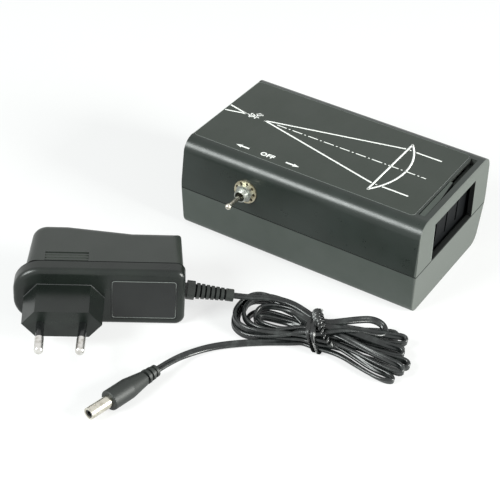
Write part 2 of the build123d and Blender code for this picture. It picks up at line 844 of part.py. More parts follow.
with BuildPart() as switch_bushing:
    with BuildSketch(switch_panel.offset(body_height)):
        Rectangle(switch_body_length, switch_body_width)
    extrude(amount=switch_plate)
    with BuildSketch(switch_panel.offset(body_height)):
        Circle(bushing_radius)
    extrude(amount=bushing_tip - body_height)
    chamfer(switch_bushing.faces().filter_by(Axis.Y).sort_by(Axis.Y)[0].edges(), bushing_rim)
    with BuildSketch(switch_panel.offset(body_height)):
        Circle(pivot_ball_radius + pivot_play)
    extrude(amount=bushing_tip - body_height, mode=Mode.SUBTRACT)
    with BuildSketch(switch_panel.offset(pivot_height + pivot_ball_radius * 0.8)):
        Circle(pivot_ball_radius + pivot_play)
    with BuildSketch(switch_panel.offset(bushing_tip + 0.01)):
        Circle(max(tip_clear_radius, pivot_ball_radius + 2 * pivot_play))
    loft(mode=Mode.SUBTRACT)
finish(switch_bushing, "switch_bushing")

with BuildPart() as switch_lever:
    with BuildSketch(Plane(origin=switch_panel.origin, x_dir=(1, 0, 0), z_dir=(0, 0, 1))) as bat:
        # Local y runs into the case, so heights out of the case are negative
        with BuildLine():
            Polyline(
                (0, -pivot_height - lever_length),
                (lever_tip_radius, -pivot_height - lever_length),
                (lever_root_radius, -pivot_height),
                (lever_root_radius, -pivot_height + lever_tail - lever_root_radius),
                (0, -pivot_height + lever_tail - lever_root_radius),
                close=True,
            )
        make_face()
    revolve(axis=Axis(switch_panel.origin, (0, 1, 0)))
    with Locations(switch_panel.offset(pivot_height + lever_length).location):
        Sphere(lever_ball_radius)
    with Locations(switch_panel.offset(pivot_height).location):
        Sphere(pivot_ball_radius)
    with Locations(switch_panel.offset(pivot_height - lever_tail + lever_root_radius).location):
        Sphere(lever_root_radius)
finish(switch_lever, "switch_lever")

with BuildPart() as lock_washer:
    with BuildSketch(switch_panel):
        Circle(washer_radius)
        Circle(washer_inner_radius, mode=Mode.SUBTRACT)
        with PolarLocations(washer_inner_radius, washer_teeth):
            Rectangle(2 * (washer_inner_radius - bushing_radius - bushing_hole_gap), washer_tooth_width)
    extrude(amount=washer_thickness)
finish(lock_washer, "lock_washer")

with BuildPart() as switch_nut:
    with BuildSketch(switch_panel.offset(washer_thickness)):
        RegularPolygon(nut_across_flats / 2, 6, major_radius=False, rotation=nut_turn)
    extrude(amount=nut_thickness)
    with BuildSketch(switch_panel.offset(washer_thickness)):
        Circle(bushing_radius + pin_play)
    extrude(amount=nut_thickness, mode=Mode.SUBTRACT)
finish(switch_nut, "switch_nut")

with BuildPart() as switch_body:
    with BuildSketch(switch_panel.offset(body_base_height)):
        Rectangle(switch_body_length, switch_body_width)
    extrude(amount=switch_body_depth)
    with BuildSketch(switch_panel.offset(body_base_height + switch_body_wall)):
        Rectangle(switch_body_length - 2 * switch_body_wall, switch_body_width - 2 * switch_body_wall)
    extrude(amount=switch_body_depth, mode=Mode.SUBTRACT)
    blade_pitch = rocker_half_length - blade_width / 4
    with BuildSketch(switch_panel.offset(body_base_height)):
        with GridLocations(blade_pitch, 1, 3, 1):
            Rectangle(blade_width + 2 * pin_play, blade_thickness + 2 * pin_play)
    extrude(amount=switch_body_wall, mode=Mode.SUBTRACT)
finish(switch_body, "switch_body")

with BuildPart() as switch_terminals:
    contact_height = rocker_pivot_height - rocker_thickness / 2 - contact_gap
    with BuildSketch(switch_panel.offset(body_base_height - blade_reach)):
        with GridLocations(blade_pitch, 1, 3, 1):
            Rectangle(blade_width, blade_thickness)
    extrude(amount=contact_height - body_base_height + blade_reach)
finish(switch_terminals, "switch_terminals")

with BuildPart() as switch_rocker:
    rise = rocker_half_length * tan(radians(rocker_rise))
    with BuildSketch(Plane(origin=switch_panel.origin, x_dir=(1, 0, 0), z_dir=(0, 0, 1))):
        low = -rocker_pivot_height + rocker_thickness / 2
        with BuildLine():
            Polyline(
                (-rocker_half_length, low - rise),
                (0, low),
                (rocker_half_length, low - rise),
                (rocker_half_length, low - rise - rocker_thickness),
                (0, low - rocker_thickness),
                (-rocker_half_length, low - rise - rocker_thickness),
                close=True,
            )
        make_face()
    extrude(amount=rocker_width / 2, both=True)
finish(switch_rocker, "switch_rocker")

# ---------------------------------------------------------------- supply socket
with BuildPart() as supply_socket:
    with BuildSketch(jack_panel):
        Circle(jack_flange_radius)
    extrude(amount=jack_flange)
    chamfer(supply_socket.faces().sort_by(Axis.Y)[-1].edges(), jack_flange_edge)
    with BuildSketch(jack_panel):
        Circle(jack_radius)
    extrude(amount=-jack_length)
    with BuildSketch(jack_panel.offset(jack_flange)):
        Circle(jack_bore_radius)
    extrude(amount=-jack_bore_depth, mode=Mode.SUBTRACT)
    with BuildSketch(jack_panel.offset(jack_flange - jack_bore_depth)):
        Circle(jack_pin_radius + pin_play)
    extrude(amount=-jack_length, mode=Mode.SUBTRACT)
finish(supply_socket, "supply_socket")

with BuildPart() as socket_pin:
    with BuildSketch(jack_panel.offset(-jack_length - blade_reach)):
        Circle(jack_pin_radius)
    extrude(amount=jack_length + blade_reach + jack_flange / 2)
    fillet(socket_pin.faces().sort_by(Axis.Y)[-1].edges(), jack_pin_radius * 0.7)
finish(socket_pin, "socket_pin")

with BuildPart() as socket_nut:
    nut_seat = -(jack_wall - jack_wall_inside)
    with BuildSketch(jack_panel.offset(nut_seat)):
        RegularPolygon(jack_nut_across_flats / 2, 6, major_radius=False)
        Circle(jack_radius + pin_play, mode=Mode.SUBTRACT)
    extrude(amount=-jack_nut_thickness)
finish(socket_nut, "socket_nut")

# ---------------------------------------------------------------- wires inside the case
terminal_x = board_x + terminal_offset_x
terminal_hole_z = board_top + terminal_hole_floor
blade_tip_y = -switch_wall - (body_base_height - blade_reach)
pin_tail_y = jack_wall - jack_length - blade_reach
star_front_x = carrier_x + carrier_thickness / 2 + star_thickness
star_rear_x = carrier_x - carrier_thickness / 2 - star_thickness
pad_y = -star_radius * 0.7


def terminal_y(place):
    """Where one of the terminal block's four holes lies across the board."""
    return terminal_offset_y + (place - 1.5) * terminal_pitch


# Each route leaves and meets its pieces squarely, and passes beside or below the light path
led_low_z = optical_height - star_radius
link_z = optical_height + 2.5 * wire_diameter
link_y = carrier_half_width + carrier_wire_gap
socket_routes = [
    [
        (jack_x, pin_tail_y, jack_z),
        (jack_x, pin_tail_y - wire_lead_out, jack_z),
        (terminal_x - board_length / 3, terminal_y(3) + wire_diameter, led_low_z + wire_lead_out),
        (terminal_x, terminal_y(3), terminal_hole_z + 2 * wire_lead_out),
        (terminal_x, terminal_y(3), terminal_hole_z),
    ],
    [
        (jack_x + jack_bore_radius, jack_wall - jack_length, jack_z),
        (jack_x + jack_bore_radius, jack_wall - jack_length - wire_lead_out, jack_z),
        (terminal_x - board_length / 4, terminal_y(3) + terminal_pitch, led_low_z + 1.5 * wire_lead_out),
        (terminal_x, terminal_y(2), terminal_hole_z + 2.4 * wire_lead_out),
        (terminal_x, terminal_y(2), terminal_hole_z),
    ],
]
lamp_routes = [
    # Driver to the switch's common blade
    [
        (switch_x, blade_tip_y, switch_z),
        (switch_x, blade_tip_y + wire_lead_out, switch_z),
        (terminal_x - 1.2 * wire_lead_out, terminal_y(0) - 1.3 * wire_lead_out, led_low_z + wire_diameter),
        (terminal_x, terminal_y(0), terminal_hole_z + 2 * wire_lead_out),
        (terminal_x, terminal_y(0), terminal_hole_z),
    ],
    # Switch to the lamp behind the lens
    [
        (switch_x + blade_pitch, blade_tip_y, switch_z),
        (switch_x + blade_pitch, blade_tip_y + wire_lead_out, switch_z),
        (switch_x - 0.8 * blade_pitch, pad_y - 0.6 * wire_lead_out, optical_height + wire_diameter / 2),
        (star_front_x + wire_lead_out, pad_y, optical_height),
        (star_front_x, pad_y, optical_height),
    ],
    # Switch to the lamp behind the small window, round the carrier's edge
    [
        (switch_x - blade_pitch, blade_tip_y, switch_z),
        (switch_x - blade_pitch, blade_tip_y + 0.8 * wire_lead_out, switch_z),
        (carrier_x + 1.2 * wire_lead_out, -carrier_half_width - carrier_wire_gap, optical_height + 2.4),
        (carrier_x - 0.7 * wire_lead_out, -carrier_half_width - 1.2 * carrier_wire_gap, optical_height + 2.4),
        (star_rear_x - wire_lead_out, pad_y - carrier_wire_gap, optical_height + wire_diameter / 2),
        (star_rear_x - 0.7 * wire_lead_out, pad_y, optical_height),
        (star_rear_x, pad_y, optical_height),
    ],
    # Return of the lamp behind the lens
    [
        (star_front_x, -pad_y, optical_height),
        (star_front_x + wire_lead_out, -pad_y, optical_height),
        (terminal_x - 2.4 * wire_lead_out, terminal_offset_y, led_low_z + 1.5 * wire_diameter),
        (terminal_x, terminal_y(1), terminal_hole_z + 2 * wire_lead_out),
        (terminal_x, terminal_y(1), terminal_hole_z),
    ],
    # Link between the two lamps' returns, round the carrier's other edge
    [
        (star_rear_x, -pad_y, optical_height),
        (star_rear_x - 0.7 * wire_lead_out, -pad_y, optical_height),
        (star_rear_x - wire_lead_out, carrier_wire_gap - pad_y, optical_height + 0.6 * wire_lead_out),
        (carrier_x - 0.7 * wire_lead_out, link_y, optical_height + wire_lead_out),
        (carrier_x + 0.7 * wire_lead_out, link_y - wire_diameter, link_z + 2 * wire_diameter),
        (star_front_x + 0.8 * wire_lead_out, wire_diameter - pad_y, link_z),
        (star_front_x + 0.5 * wire_lead_out, -pad_y - wire_diameter, link_z),
        (star_front_x, -pad_y - wire_diameter, link_z),
    ],
]

with BuildPart() as socket_wires:
    for route in socket_routes:
        add(cord_tube(route, wire_diameter).part)
finish(socket_wires, "socket_wires")

with BuildPart() as lamp_wires:
    for route in lamp_routes:
        add(cord_tube(route, wire_diameter).part)
finish(lamp_wires, "lamp_wires")

# ---------------------------------------------------------------- plug-in supply
# On the supply's own plane, x runs along its long side, y from its face to its back, z up
supply = Plane(
    origin=(supply_x, supply_y, 0),
    x_dir=(cos(radians(supply_yaw)), sin(radians(supply_yaw)), 0),
    z_dir=(0, 0, 1),
)
towards_face = Axis(supply.origin, -supply.y_dir)
supply_mid = supply_height / 2


def supply_section(depth):
    """An upright plane across the supply at a depth behind the pin face, looking out."""
    return Plane(origin=supply.from_local_coords((0, depth, 0)), x_dir=supply.x_dir, z_dir=-supply.y_dir)


def front_outline(inset):
    """The front shell's outline, with one big rounded end, drawn in by inset."""
    with BuildSketch(Plane.XY) as outline:
        with Locations(((supply_left + supply_right) / 2, supply_mid)):
            Rectangle(supply_right - supply_left, supply_height)
        fillet(outline.vertices().group_by(Axis.X)[0], supply_big_radius)
        fillet(outline.vertices().group_by(Axis.X)[-1], supply_small_radius)
        if inset:
            offset(amount=-inset)
    return outline.sketch


def back_outline(inset, low_depth):
    """The back shell's outline seen from above, with its stepped back, drawn in by inset."""
    with BuildSketch(Plane.XY) as outline:
        with BuildLine():
            Polyline(
                (back_shell_left + inset, low_depth),
                (back_shell_left + back_shell_lean + inset, supply_back - inset),
                (0.0, supply_back - inset),
                (back_shell_bend, supply_back_end - inset),
                (back_shell_right - back_shell_end_lean - inset, supply_back_end - inset),
                (back_shell_right - inset, low_depth),
                close=True,
            )
        make_face()
        far_left, bend_left, bend_right, far_right = outline.vertices().sort_by(Axis.Y)[2:].sort_by(Axis.X)
        fillet(far_left, back_shell_corner - inset)
        fillet([bend_left, bend_right], back_shell_bend_radius)
        fillet(far_right, back_shell_end_corner - inset)
    return outline.sketch


outline_full = front_outline(0.0)
outline_inner = front_outline(supply_wall)
pin_tilt = degrees(asin((pin_spacing_root - pin_spacing_tip) / 2 / pin_length))


def pin_plane(side, height=0.0):
    """The plane square to one mains pin, a height out of the pin face."""
    across = -side * sin(radians(pin_tilt))
    out = -supply.y_dir * cos(radians(pin_tilt)) + supply.x_dir * across
    root = supply.from_local_coords((side * pin_spacing_root / 2, 0, supply_mid))
    return Plane(origin=root + out * height, x_dir=(0, 0, 1), z_dir=out)


neck_plane = Plane(
    origin=supply.from_local_coords((supply_right, supply_parting, supply_mid)),
    x_dir=supply.y_dir,
    z_dir=supply.x_dir,
)

with BuildPart() as supply_front:
    with BuildSketch(supply_section(supply_parting)):
        add(outline_full)
    extrude(amount=supply_parting - supply_face)
    fillet(supply_front.faces().sort_by(towards_face)[-1].edges(), supply_edge_radius)
    with BuildSketch(supply_section(supply_parting)):
        add(outline_inner)
    extrude(amount=supply_parting - supply_face - supply_wall, mode=Mode.SUBTRACT)
    # Snout with the outline of a two-pin mains plug
    with BuildSketch(supply_section(supply_face + supply_wall / 2)):
        with BuildLine():
            Polyline(
                (-hexagon_width / 2, supply_mid),
                (-hexagon_flat / 2, supply_mid + hexagon_height / 2),
                (hexagon_flat / 2, supply_mid + hexagon_height / 2),
                (hexagon_width / 2, supply_mid),
                (hexagon_flat / 2, supply_mid - hexagon_height / 2),
                (-hexagon_flat / 2, supply_mid - hexagon_height / 2),
                close=True,
            )
        make_face()
        offset(amount=supply_face * tan(radians(snout_draft)), kind=Kind.INTERSECTION)
    extrude(amount=supply_face + supply_wall / 2, taper=snout_draft)
    for side in (-1, 1):
        with BuildSketch(pin_plane(side, 1.0)):
            Circle(pin_shank_radius + pin_play)
        extrude(amount=-supply_parting, mode=Mode.SUBTRACT)
    # Recess for the rating plate
    with BuildSketch(supply_section(supply_face + plate_recess)):
        with Locations(((plate_left + plate_right) / 2, (plate_low + plate_high) / 2)):
            RectangleRounded(plate_right - plate_left, plate_high - plate_low, plate_corner)
    extrude(amount=2 * plate_recess, mode=Mode.SUBTRACT)
    with BuildSketch(neck_plane.offset(supply_wall)):
        Circle(relief_neck_radius + pin_play)
    extrude(amount=-2.5 * supply_wall, mode=Mode.SUBTRACT)
finish(supply_front, "supply_front_shell")



def closed_rims(form, open_depth):
    """The upper and lower edges of an upright form, apart from those at its open side."""
    return form.faces().filter_by(Axis.Z).edges().filter_by(
        lambda e: abs(supply.to_local_coords(e.center()).Y - open_depth) > 0.5
    )


with BuildPart() as back_cavity:
    with BuildSketch(supply.offset(supply_wall)):
        add(back_outline(supply_wall, supply_parting - back_shell_lap))
    extrude(amount=supply_height - 2 * supply_wall)
    fillet(closed_rims(back_cavity, supply_parting - back_shell_lap), back_shell_edge_radius - supply_wall)

with BuildPart() as supply_back_shell:
    with BuildSketch(supply.offset(back_shell_step)):
        add(back_outline(0.0, supply_parting))
    extrude(amount=supply_height - 2 * back_shell_step)
    fillet(closed_rims(supply_back_shell, supply_parting), back_shell_edge_radius)
    add(back_cavity.part, mode=Mode.SUBTRACT)
    # Shadow gap round the joint with the front shell
    with BuildSketch(supply_section(supply_parting + parting_slit)):
        with Locations(((back_shell_left + back_shell_right) / 2, supply_mid)):
            Rectangle(supply_right - supply_left, 2 * supply_height)
            RectangleRounded(
                back_shell_right - back_shell_left - 2 * parting_slit_depth,
                supply_height - 2 * back_shell_step - 2 * parting_slit_depth,
                back_shell_edge_radius - parting_slit_depth,
                mode=Mode.SUBTRACT,
            )
    extrude(amount=parting_slit, mode=Mode.SUBTRACT)
    # Finger grip: a shallow recess with ribs on the upper side
    grip_floor = supply_height - back_shell_step - grip_recess
    with BuildSketch(supply.offset(grip_floor)):
        with Locations(((grip_left + grip_right) / 2, (supply_parting + grip_depth_end) / 2)):
            Rectangle(grip_right - grip_left, grip_depth_end - supply_parting)
    extrude(amount=2 * grip_recess, mode=Mode.SUBTRACT)
    rib_pitch = (grip_depth_end - supply_parting) / (grip_ribs + 0.5)
    with BuildSketch(supply.offset(grip_floor - supply_wall / 4)):
        with Locations(((grip_left + grip_right) / 2, (supply_parting + grip_depth_end) / 2)):
            with GridLocations(1, rib_pitch, 1, grip_ribs):
                Rectangle(grip_right - grip_left, rib_pitch / 2)
    extrude(amount=grip_recess * 0.8 + supply_wall / 4)
    with BuildSketch(neck_plane.offset(supply_wall)):
        Circle(relief_neck_radius + pin_play)
    extrude(amount=-2.5 * supply_wall, mode=Mode.SUBTRACT)
finish(supply_back_shell, "supply_back_shell")

with BuildPart() as rating_plate:
    with BuildSketch(supply_section(supply_face + plate_recess)):
        with Locations(((plate_left + plate_right) / 2, (plate_low + plate_high) / 2)):
            RectangleRounded(
                plate_right - plate_left - 2 * sheet_gap,
                plate_high - plate_low - 2 * sheet_gap,
                plate_corner - sheet_gap,
            )
    extrude(amount=plate_thickness)
finish(rating_plate, "rating_plate")

with BuildPart() as mains_pins:
    for side in (-1, 1):
        with BuildSketch(pin_plane(side, -supply_face - pin_tail)):
            Circle(pin_shank_radius)
        extrude(amount=supply_face + pin_tail + pin_length - 1)
        with BuildSketch(pin_plane(side, pin_sleeve_length)):
            Circle(pin_radius)
        extrude(amount=pin_length - pin_sleeve_length)
    tips = mains_pins.faces().sort_by(towards_face)[-2:]
    fillet(tips.edges(), pin_radius * 0.6)
finish(mains_pins, "mains_pins")

with BuildPart() as pin_sleeves:
    for side in (-1, 1):
        with BuildSketch(pin_plane(side, 2 * pin_play)):
            Circle(pin_sleeve_radius)
            Circle(pin_shank_radius + pin_play, mode=Mode.SUBTRACT)
        extrude(amount=pin_sleeve_length - 2 * pin_play)
finish(pin_sleeves, "pin_sleeves")

with BuildPart() as supply_board:
    lean_left = back_shell_lean * (supply_board_depth - supply_parting) / (supply_back - supply_parting)
    board_left = back_shell_left + lean_left + supply_wall + supply_board_play
    board_right = back_shell_right - back_shell_end_lean - supply_wall - supply_board_play
    board_rise = supply_height - 2 * supply_wall - 2 * supply_board_play
    with BuildSketch(supply_section(supply_board_depth)):
        with Locations(((board_left + board_right) / 2, supply_mid)):
            RectangleRounded(board_right - board_left, board_rise, back_shell_edge_radius - supply_wall)
    extrude(amount=supply_board_thickness)
finish(supply_board, "supply_board")

with BuildPart() as supply_transformer:
    with BuildSketch(supply_section(supply_board_depth)):
        with Locations((transformer_place, supply_mid)):
            Rectangle(transformer_width, transformer_rise)
    extrude(amount=-transformer_depth * 0.7)
    with BuildSketch(supply_section(supply_board_depth)):
        with Locations((transformer_place, supply_mid)):
            Rectangle(transformer_width * 0.6, transformer_rise + transformer_core)
    extrude(amount=-transformer_depth * 0.5)
finish(supply_transformer, "supply_transformer")

with BuildPart() as supply_reservoirs:
    reservoir_depth = supply_board_depth + reservoir_radius
    for side in (-1, 1):
        place = transformer_place + side * reservoir_spread
        foot = supply.from_local_coords((place, reservoir_depth, supply_mid - reservoir_length / 2))
        with BuildSketch(Plane(origin=foot, z_dir=(0, 0, 1))):
            Circle(reservoir_radius)
        extrude(amount=reservoir_length - max(side, 0) * reservoir_short)
finish(supply_reservoirs, "supply_reservoirs")

# ---------------------------------------------------------------- lead
droop = radians(relief_droop)
relief_axis_dir = supply.x_dir * cos(droop) - Vector(0, 0, 1) * sin(droop)
relief_start = supply.from_local_coords((supply_right + relief_stand_off, supply_parting, supply_mid))
relief_plane = Plane(origin=relief_start, x_dir=supply.y_dir, z_dir=relief_axis_dir)
relief_end = relief_start + relief_axis_dir * relief_length

with BuildPart() as supply_strain_relief:
    flange_seat = supply_right - back_shell_right + supply_wall + relief_flange_gap
    with BuildSketch(neck_plane.offset(-flange_seat)):
        Circle(relief_neck_radius)
    extrude(amount=flange_seat + 1.6 * relief_stand_off)
    with BuildSketch(neck_plane.offset(-flange_seat)):
        Circle(relief_flange_radius)
    extrude(amount=-relief_flange)
    with BuildSketch(relief_plane):
        Circle(relief_collar_radius)
    extrude(amount=relief_collar)
    with BuildSketch(relief_plane.offset(relief_collar)):
        Circle(relief_collar_radius * 0.7)
    with BuildSketch(relief_plane.offset(relief_length - relief_end_collar)):
        Circle(relief_end_radius * 0.84)
    loft()
    with BuildSketch(relief_plane.offset(relief_length - relief_end_collar)):
        Circle(relief_end_radius)
    extrude(amount=relief_end_collar)
    rib_run = relief_length - relief_collar - relief_end_collar
    for rib in range(relief_ribs):
        share = (rib + 0.75) / (relief_ribs + 0.5)
        rib_radius = relief_collar_radius * 0.86 * (1 - share) + relief_end_radius * share
        with BuildSketch(relief_plane.offset(relief_collar + rib_run * share - relief_rib_width / 2)):
            Circle(rib_radius)
        extrude(amount=relief_rib_width)
finish(supply_strain_relief, "supply_strain_relief")


supply_lead = cord_tube(
    [
        tuple(relief_end),
        tuple(relief_end + relief_axis_dir * 7.0),
        (8.3, -77.0, 7.9),
    ],
    lead_diameter,
)
finish(supply_lead, "supply_lead")

plug_dir = Vector(cos(radians(plug_heading)), sin(radians(plug_heading)), 0)
plug_start = Vector(plug_tip[0], plug_tip[1], plug_axis_height)
plug_plane = Plane(origin=plug_start, x_dir=(0, 0, 1), z_dir=plug_dir)
plug_length = plug_sleeve_length + plug_body_length + plug_relief_length
plug_end = plug_start + plug_dir * plug_length

plug_lead = cord_tube(
    [
        tuple(plug_end),
        tuple(plug_end + plug_dir * 8.0),
        (-5.1, -121.8, 2.6),
        (0.9, -111.0, 2.2),
        (10.2, -101.6, 2.2),
        (21.3, -94.3, 2.3),
        (31.6, -88.6, 3.0),
    ],
    lead_diameter,
)
finish(plug_lead, "plug_lead")

with BuildPart() as cord_hank:
    for section_x, near_y, far_y, low_z, high_z in hank_sections:
        with BuildSketch(Plane.YZ.offset(section_x)):
            with Locations(((near_y + far_y) / 2, (low_z + high_z) / 2)):
                RectangleRounded(far_y - near_y, high_z - low_z, hank_edge)
    loft(ruled=True)
finish(cord_hank, "cord_hank")

with BuildPart() as hank_tie:
    waist_near, waist_far, waist_low, waist_high = hank_waist
    tie_span = waist_far - waist_near + 2 * tie_gap
    tie_rise = waist_high - waist_low + 2 * tie_gap
    tie_y = (waist_near + waist_far) / 2
    with BuildSketch(Plane.YZ.offset(tie_x - tie_width / 2)):
        with Locations((tie_y, (waist_low + waist_high) / 2)):
            RectangleRounded(tie_span + 2 * tie_strip, tie_rise + 2 * tie_strip, hank_edge + tie_strip)
            RectangleRounded(tie_span, tie_rise, hank_edge, mode=Mode.SUBTRACT)
    extrude(amount=tie_width)
    # Its twisted ends, folded flat on top
    twist_z = waist_high + tie_gap + tie_strip + tie_twist_radius * 0.8
    with BuildSketch(Plane.XZ.offset(-tie_y - tie_twist_length / 2)):
        with Locations((tie_x, twist_z)):
            Circle(tie_twist_radius)
    extrude(amount=tie_twist_length)
finish(hank_tie, "hank_tie")

# ---------------------------------------------------------------- barrel plug
with BuildPart() as plug_sleeve:
    with BuildSketch(plug_plane):
        Circle(plug_sleeve_radius)
        Circle(plug_liner_radius, mode=Mode.SUBTRACT)
    extrude(amount=plug_sleeve_length)
finish(plug_sleeve, "plug_sleeve")

with BuildPart() as plug_liner:
    with BuildSketch(plug_plane.offset(0.3)):
        Circle(plug_liner_radius)
        Circle(plug_bore_radius, mode=Mode.SUBTRACT)
    extrude(amount=plug_sleeve_length - 0.3)
finish(plug_liner, "plug_liner")

with BuildPart() as plug_body:
    with BuildSketch(plug_plane.offset(plug_sleeve_length)):
        Circle(plug_body_radius)
    extrude(amount=plug_body_length * 0.55)
    with BuildSketch(plug_plane.offset(plug_sleeve_length + plug_body_length * 0.55)):
        Circle(plug_body_radius)
    with BuildSketch(plug_plane.offset(plug_sleeve_length + plug_body_length)):
        Circle(plug_neck_radius)
    loft()
    fillet(plug_body.faces().sort_by(Axis(plug_start, plug_dir))[0].edges(), 0.8)
    with BuildSketch(plug_plane.offset(plug_sleeve_length + plug_body_length)):
        Circle(plug_neck_radius * 0.7)
    extrude(amount=plug_relief_length)
    for rib in range(plug_ribs):
        rib_start = plug_sleeve_length + plug_body_length + plug_relief_length * (rib + 0.5) / plug_ribs
        with BuildSketch(plug_plane.offset(rib_start)):
            Circle(plug_neck_radius - 0.25 * rib)
        extrude(amount=plug_relief_length / plug_ribs * 0.5)
finish(plug_body, "plug_body")
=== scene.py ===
"""Optics ray box with its plug-in supply: finishes, print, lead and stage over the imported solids."""

from __future__ import annotations

import json
import logging
import math
from collections.abc import Iterable, Sequence
from dataclasses import dataclass, field, replace
from enum import Enum
from typing import Any

import bpy
from mathutils import Matrix, Vector

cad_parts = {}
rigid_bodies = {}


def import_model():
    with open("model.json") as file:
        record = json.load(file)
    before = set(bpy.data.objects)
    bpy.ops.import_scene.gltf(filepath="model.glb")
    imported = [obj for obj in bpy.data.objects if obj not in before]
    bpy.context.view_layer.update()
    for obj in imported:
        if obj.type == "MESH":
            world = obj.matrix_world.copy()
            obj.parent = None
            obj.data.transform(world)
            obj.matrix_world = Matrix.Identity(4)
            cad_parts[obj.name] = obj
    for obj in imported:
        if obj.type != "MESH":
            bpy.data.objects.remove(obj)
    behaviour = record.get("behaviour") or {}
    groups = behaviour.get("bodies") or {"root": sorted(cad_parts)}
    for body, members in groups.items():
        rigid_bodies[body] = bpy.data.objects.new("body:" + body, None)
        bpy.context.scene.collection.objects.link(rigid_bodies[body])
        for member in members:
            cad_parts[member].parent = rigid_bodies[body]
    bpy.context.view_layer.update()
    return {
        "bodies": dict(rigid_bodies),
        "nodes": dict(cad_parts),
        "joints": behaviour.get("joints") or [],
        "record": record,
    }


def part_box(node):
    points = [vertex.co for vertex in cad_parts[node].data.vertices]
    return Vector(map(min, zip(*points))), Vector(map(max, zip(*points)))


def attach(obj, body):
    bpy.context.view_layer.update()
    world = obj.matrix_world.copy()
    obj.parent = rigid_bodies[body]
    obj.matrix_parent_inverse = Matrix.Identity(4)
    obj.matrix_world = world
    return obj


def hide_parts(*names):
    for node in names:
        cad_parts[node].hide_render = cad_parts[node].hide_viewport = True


log = logging.getLogger("ray_box")

MM = 0.001  # a millimetre in metres
PER_METRE = 1000.0  # millimetres in a metre
ROOT = "lamp_set"
Pair = tuple[float, float]
Point = tuple[float, float, float]
Quad = tuple[float, float, float, float]
Colour = tuple[float, float, float]
Nodes = dict[str, bpy.types.Object]


# ---------------------------------------------------------------- node graphs
class Value:
    """One value in a node graph; Python's operators add the nodes that work it out."""

    def __init__(self, graph: Graph, socket: bpy.types.NodeSocket) -> None:
        """Keeps the graph and the socket that gives the value."""
        self.graph = graph
        self.socket = socket

    def __add__(self, other: Value | float) -> Value:
        """Sum."""
        return self.graph.math("ADD", self, other)

    __radd__ = __add__

    def __sub__(self, other: Value | float) -> Value:
        """Difference."""
        return self.graph.math("SUBTRACT", self, other)

    def __rsub__(self, other: float) -> Value:
        """Difference from a number."""
        return self.graph.math("SUBTRACT", other, self)

    def __mul__(self, other: Value | float) -> Value:
        """Product."""
        return self.graph.math("MULTIPLY", self, other)

    __rmul__ = __mul__

    def __truediv__(self, other: Value | float) -> Value:
        """Quotient."""
        return self.graph.math("DIVIDE", self, other)

    def __abs__(self) -> Value:
        """Size without its sign."""
        return self.graph.math("ABSOLUTE", self)

    def __lt__(self, other: Value | float) -> Value:
        """1 where it is less."""
        return self.graph.math("LESS_THAN", self, other)

    def __gt__(self, other: Value | float) -> Value:
        """1 where it is more."""
        return self.graph.math("GREATER_THAN", self, other)

    def eased(self, low: float, high: float) -> Value:
        """Goes smoothly from 0 to 1.

        Args:
            low: value that gives 0.
            high: value that gives 1.

        Returns:
            The eased value.
        """
        node = self.graph.node(
            "ShaderNodeMapRange",
            {"interpolation_type": "SMOOTHSTEP"},
            {0: self, 1: low, 2: high, 3: 0.0, 4: 1.0},
        )
        return self.graph.out(node)


class Graph:
    """A node tree being built, for a material or for geometry."""

    def __init__(self, tree: bpy.types.NodeTree) -> None:
        """Keeps the tree."""
        self.tree = tree

    def node(
        self,
        kind: str,
        settings: dict[str, Any] | None = None,
        inputs: dict[str | int, Any] | None = None,
    ) -> bpy.types.Node:
        """Adds one node.

        Args:
            kind: the node's type.
            settings: its settings, put in first.
            inputs: a value or a link for each socket, by name or number.

        Returns:
            The new node.
        """
        made = self.tree.nodes.new(kind)
        for name, value in (settings or {}).items():
            setattr(made, name, value)
        for name, value in (inputs or {}).items():
            if isinstance(value, Value):
                self.tree.links.new(value.socket, made.inputs[name])
            else:
                made.inputs[name].default_value = value
        return made

    def out(self, node: bpy.types.Node, name: str | int = 0) -> Value:
        """The value that a node gives."""
        return Value(self, node.outputs[name])

    def math(self, operation: str, *terms: Value | float) -> Value:
        """One Math node."""
        return self.out(self.node("ShaderNodeMath", {"operation": operation}, dict(enumerate(terms))))

    def split(self, vector: Value, letter: str) -> Value:
        """One coordinate of a vector."""
        return self.out(self.node("ShaderNodeSeparateXYZ", {}, {0: vector}), letter)

    def seen(self) -> Value:
        """Tells what the camera sees from what only lights the scene.

        Returns:
            1 for rays that come from the camera, straight or by way of a mirror or clear surface.
        """
        path = self.node("ShaderNodeLightPath")
        rays = self.out(path, "Is Camera Ray") + self.out(path, "Is Glossy Ray")
        return (rays + self.out(path, "Is Transmission Ray")).eased(0.0, 1.0)


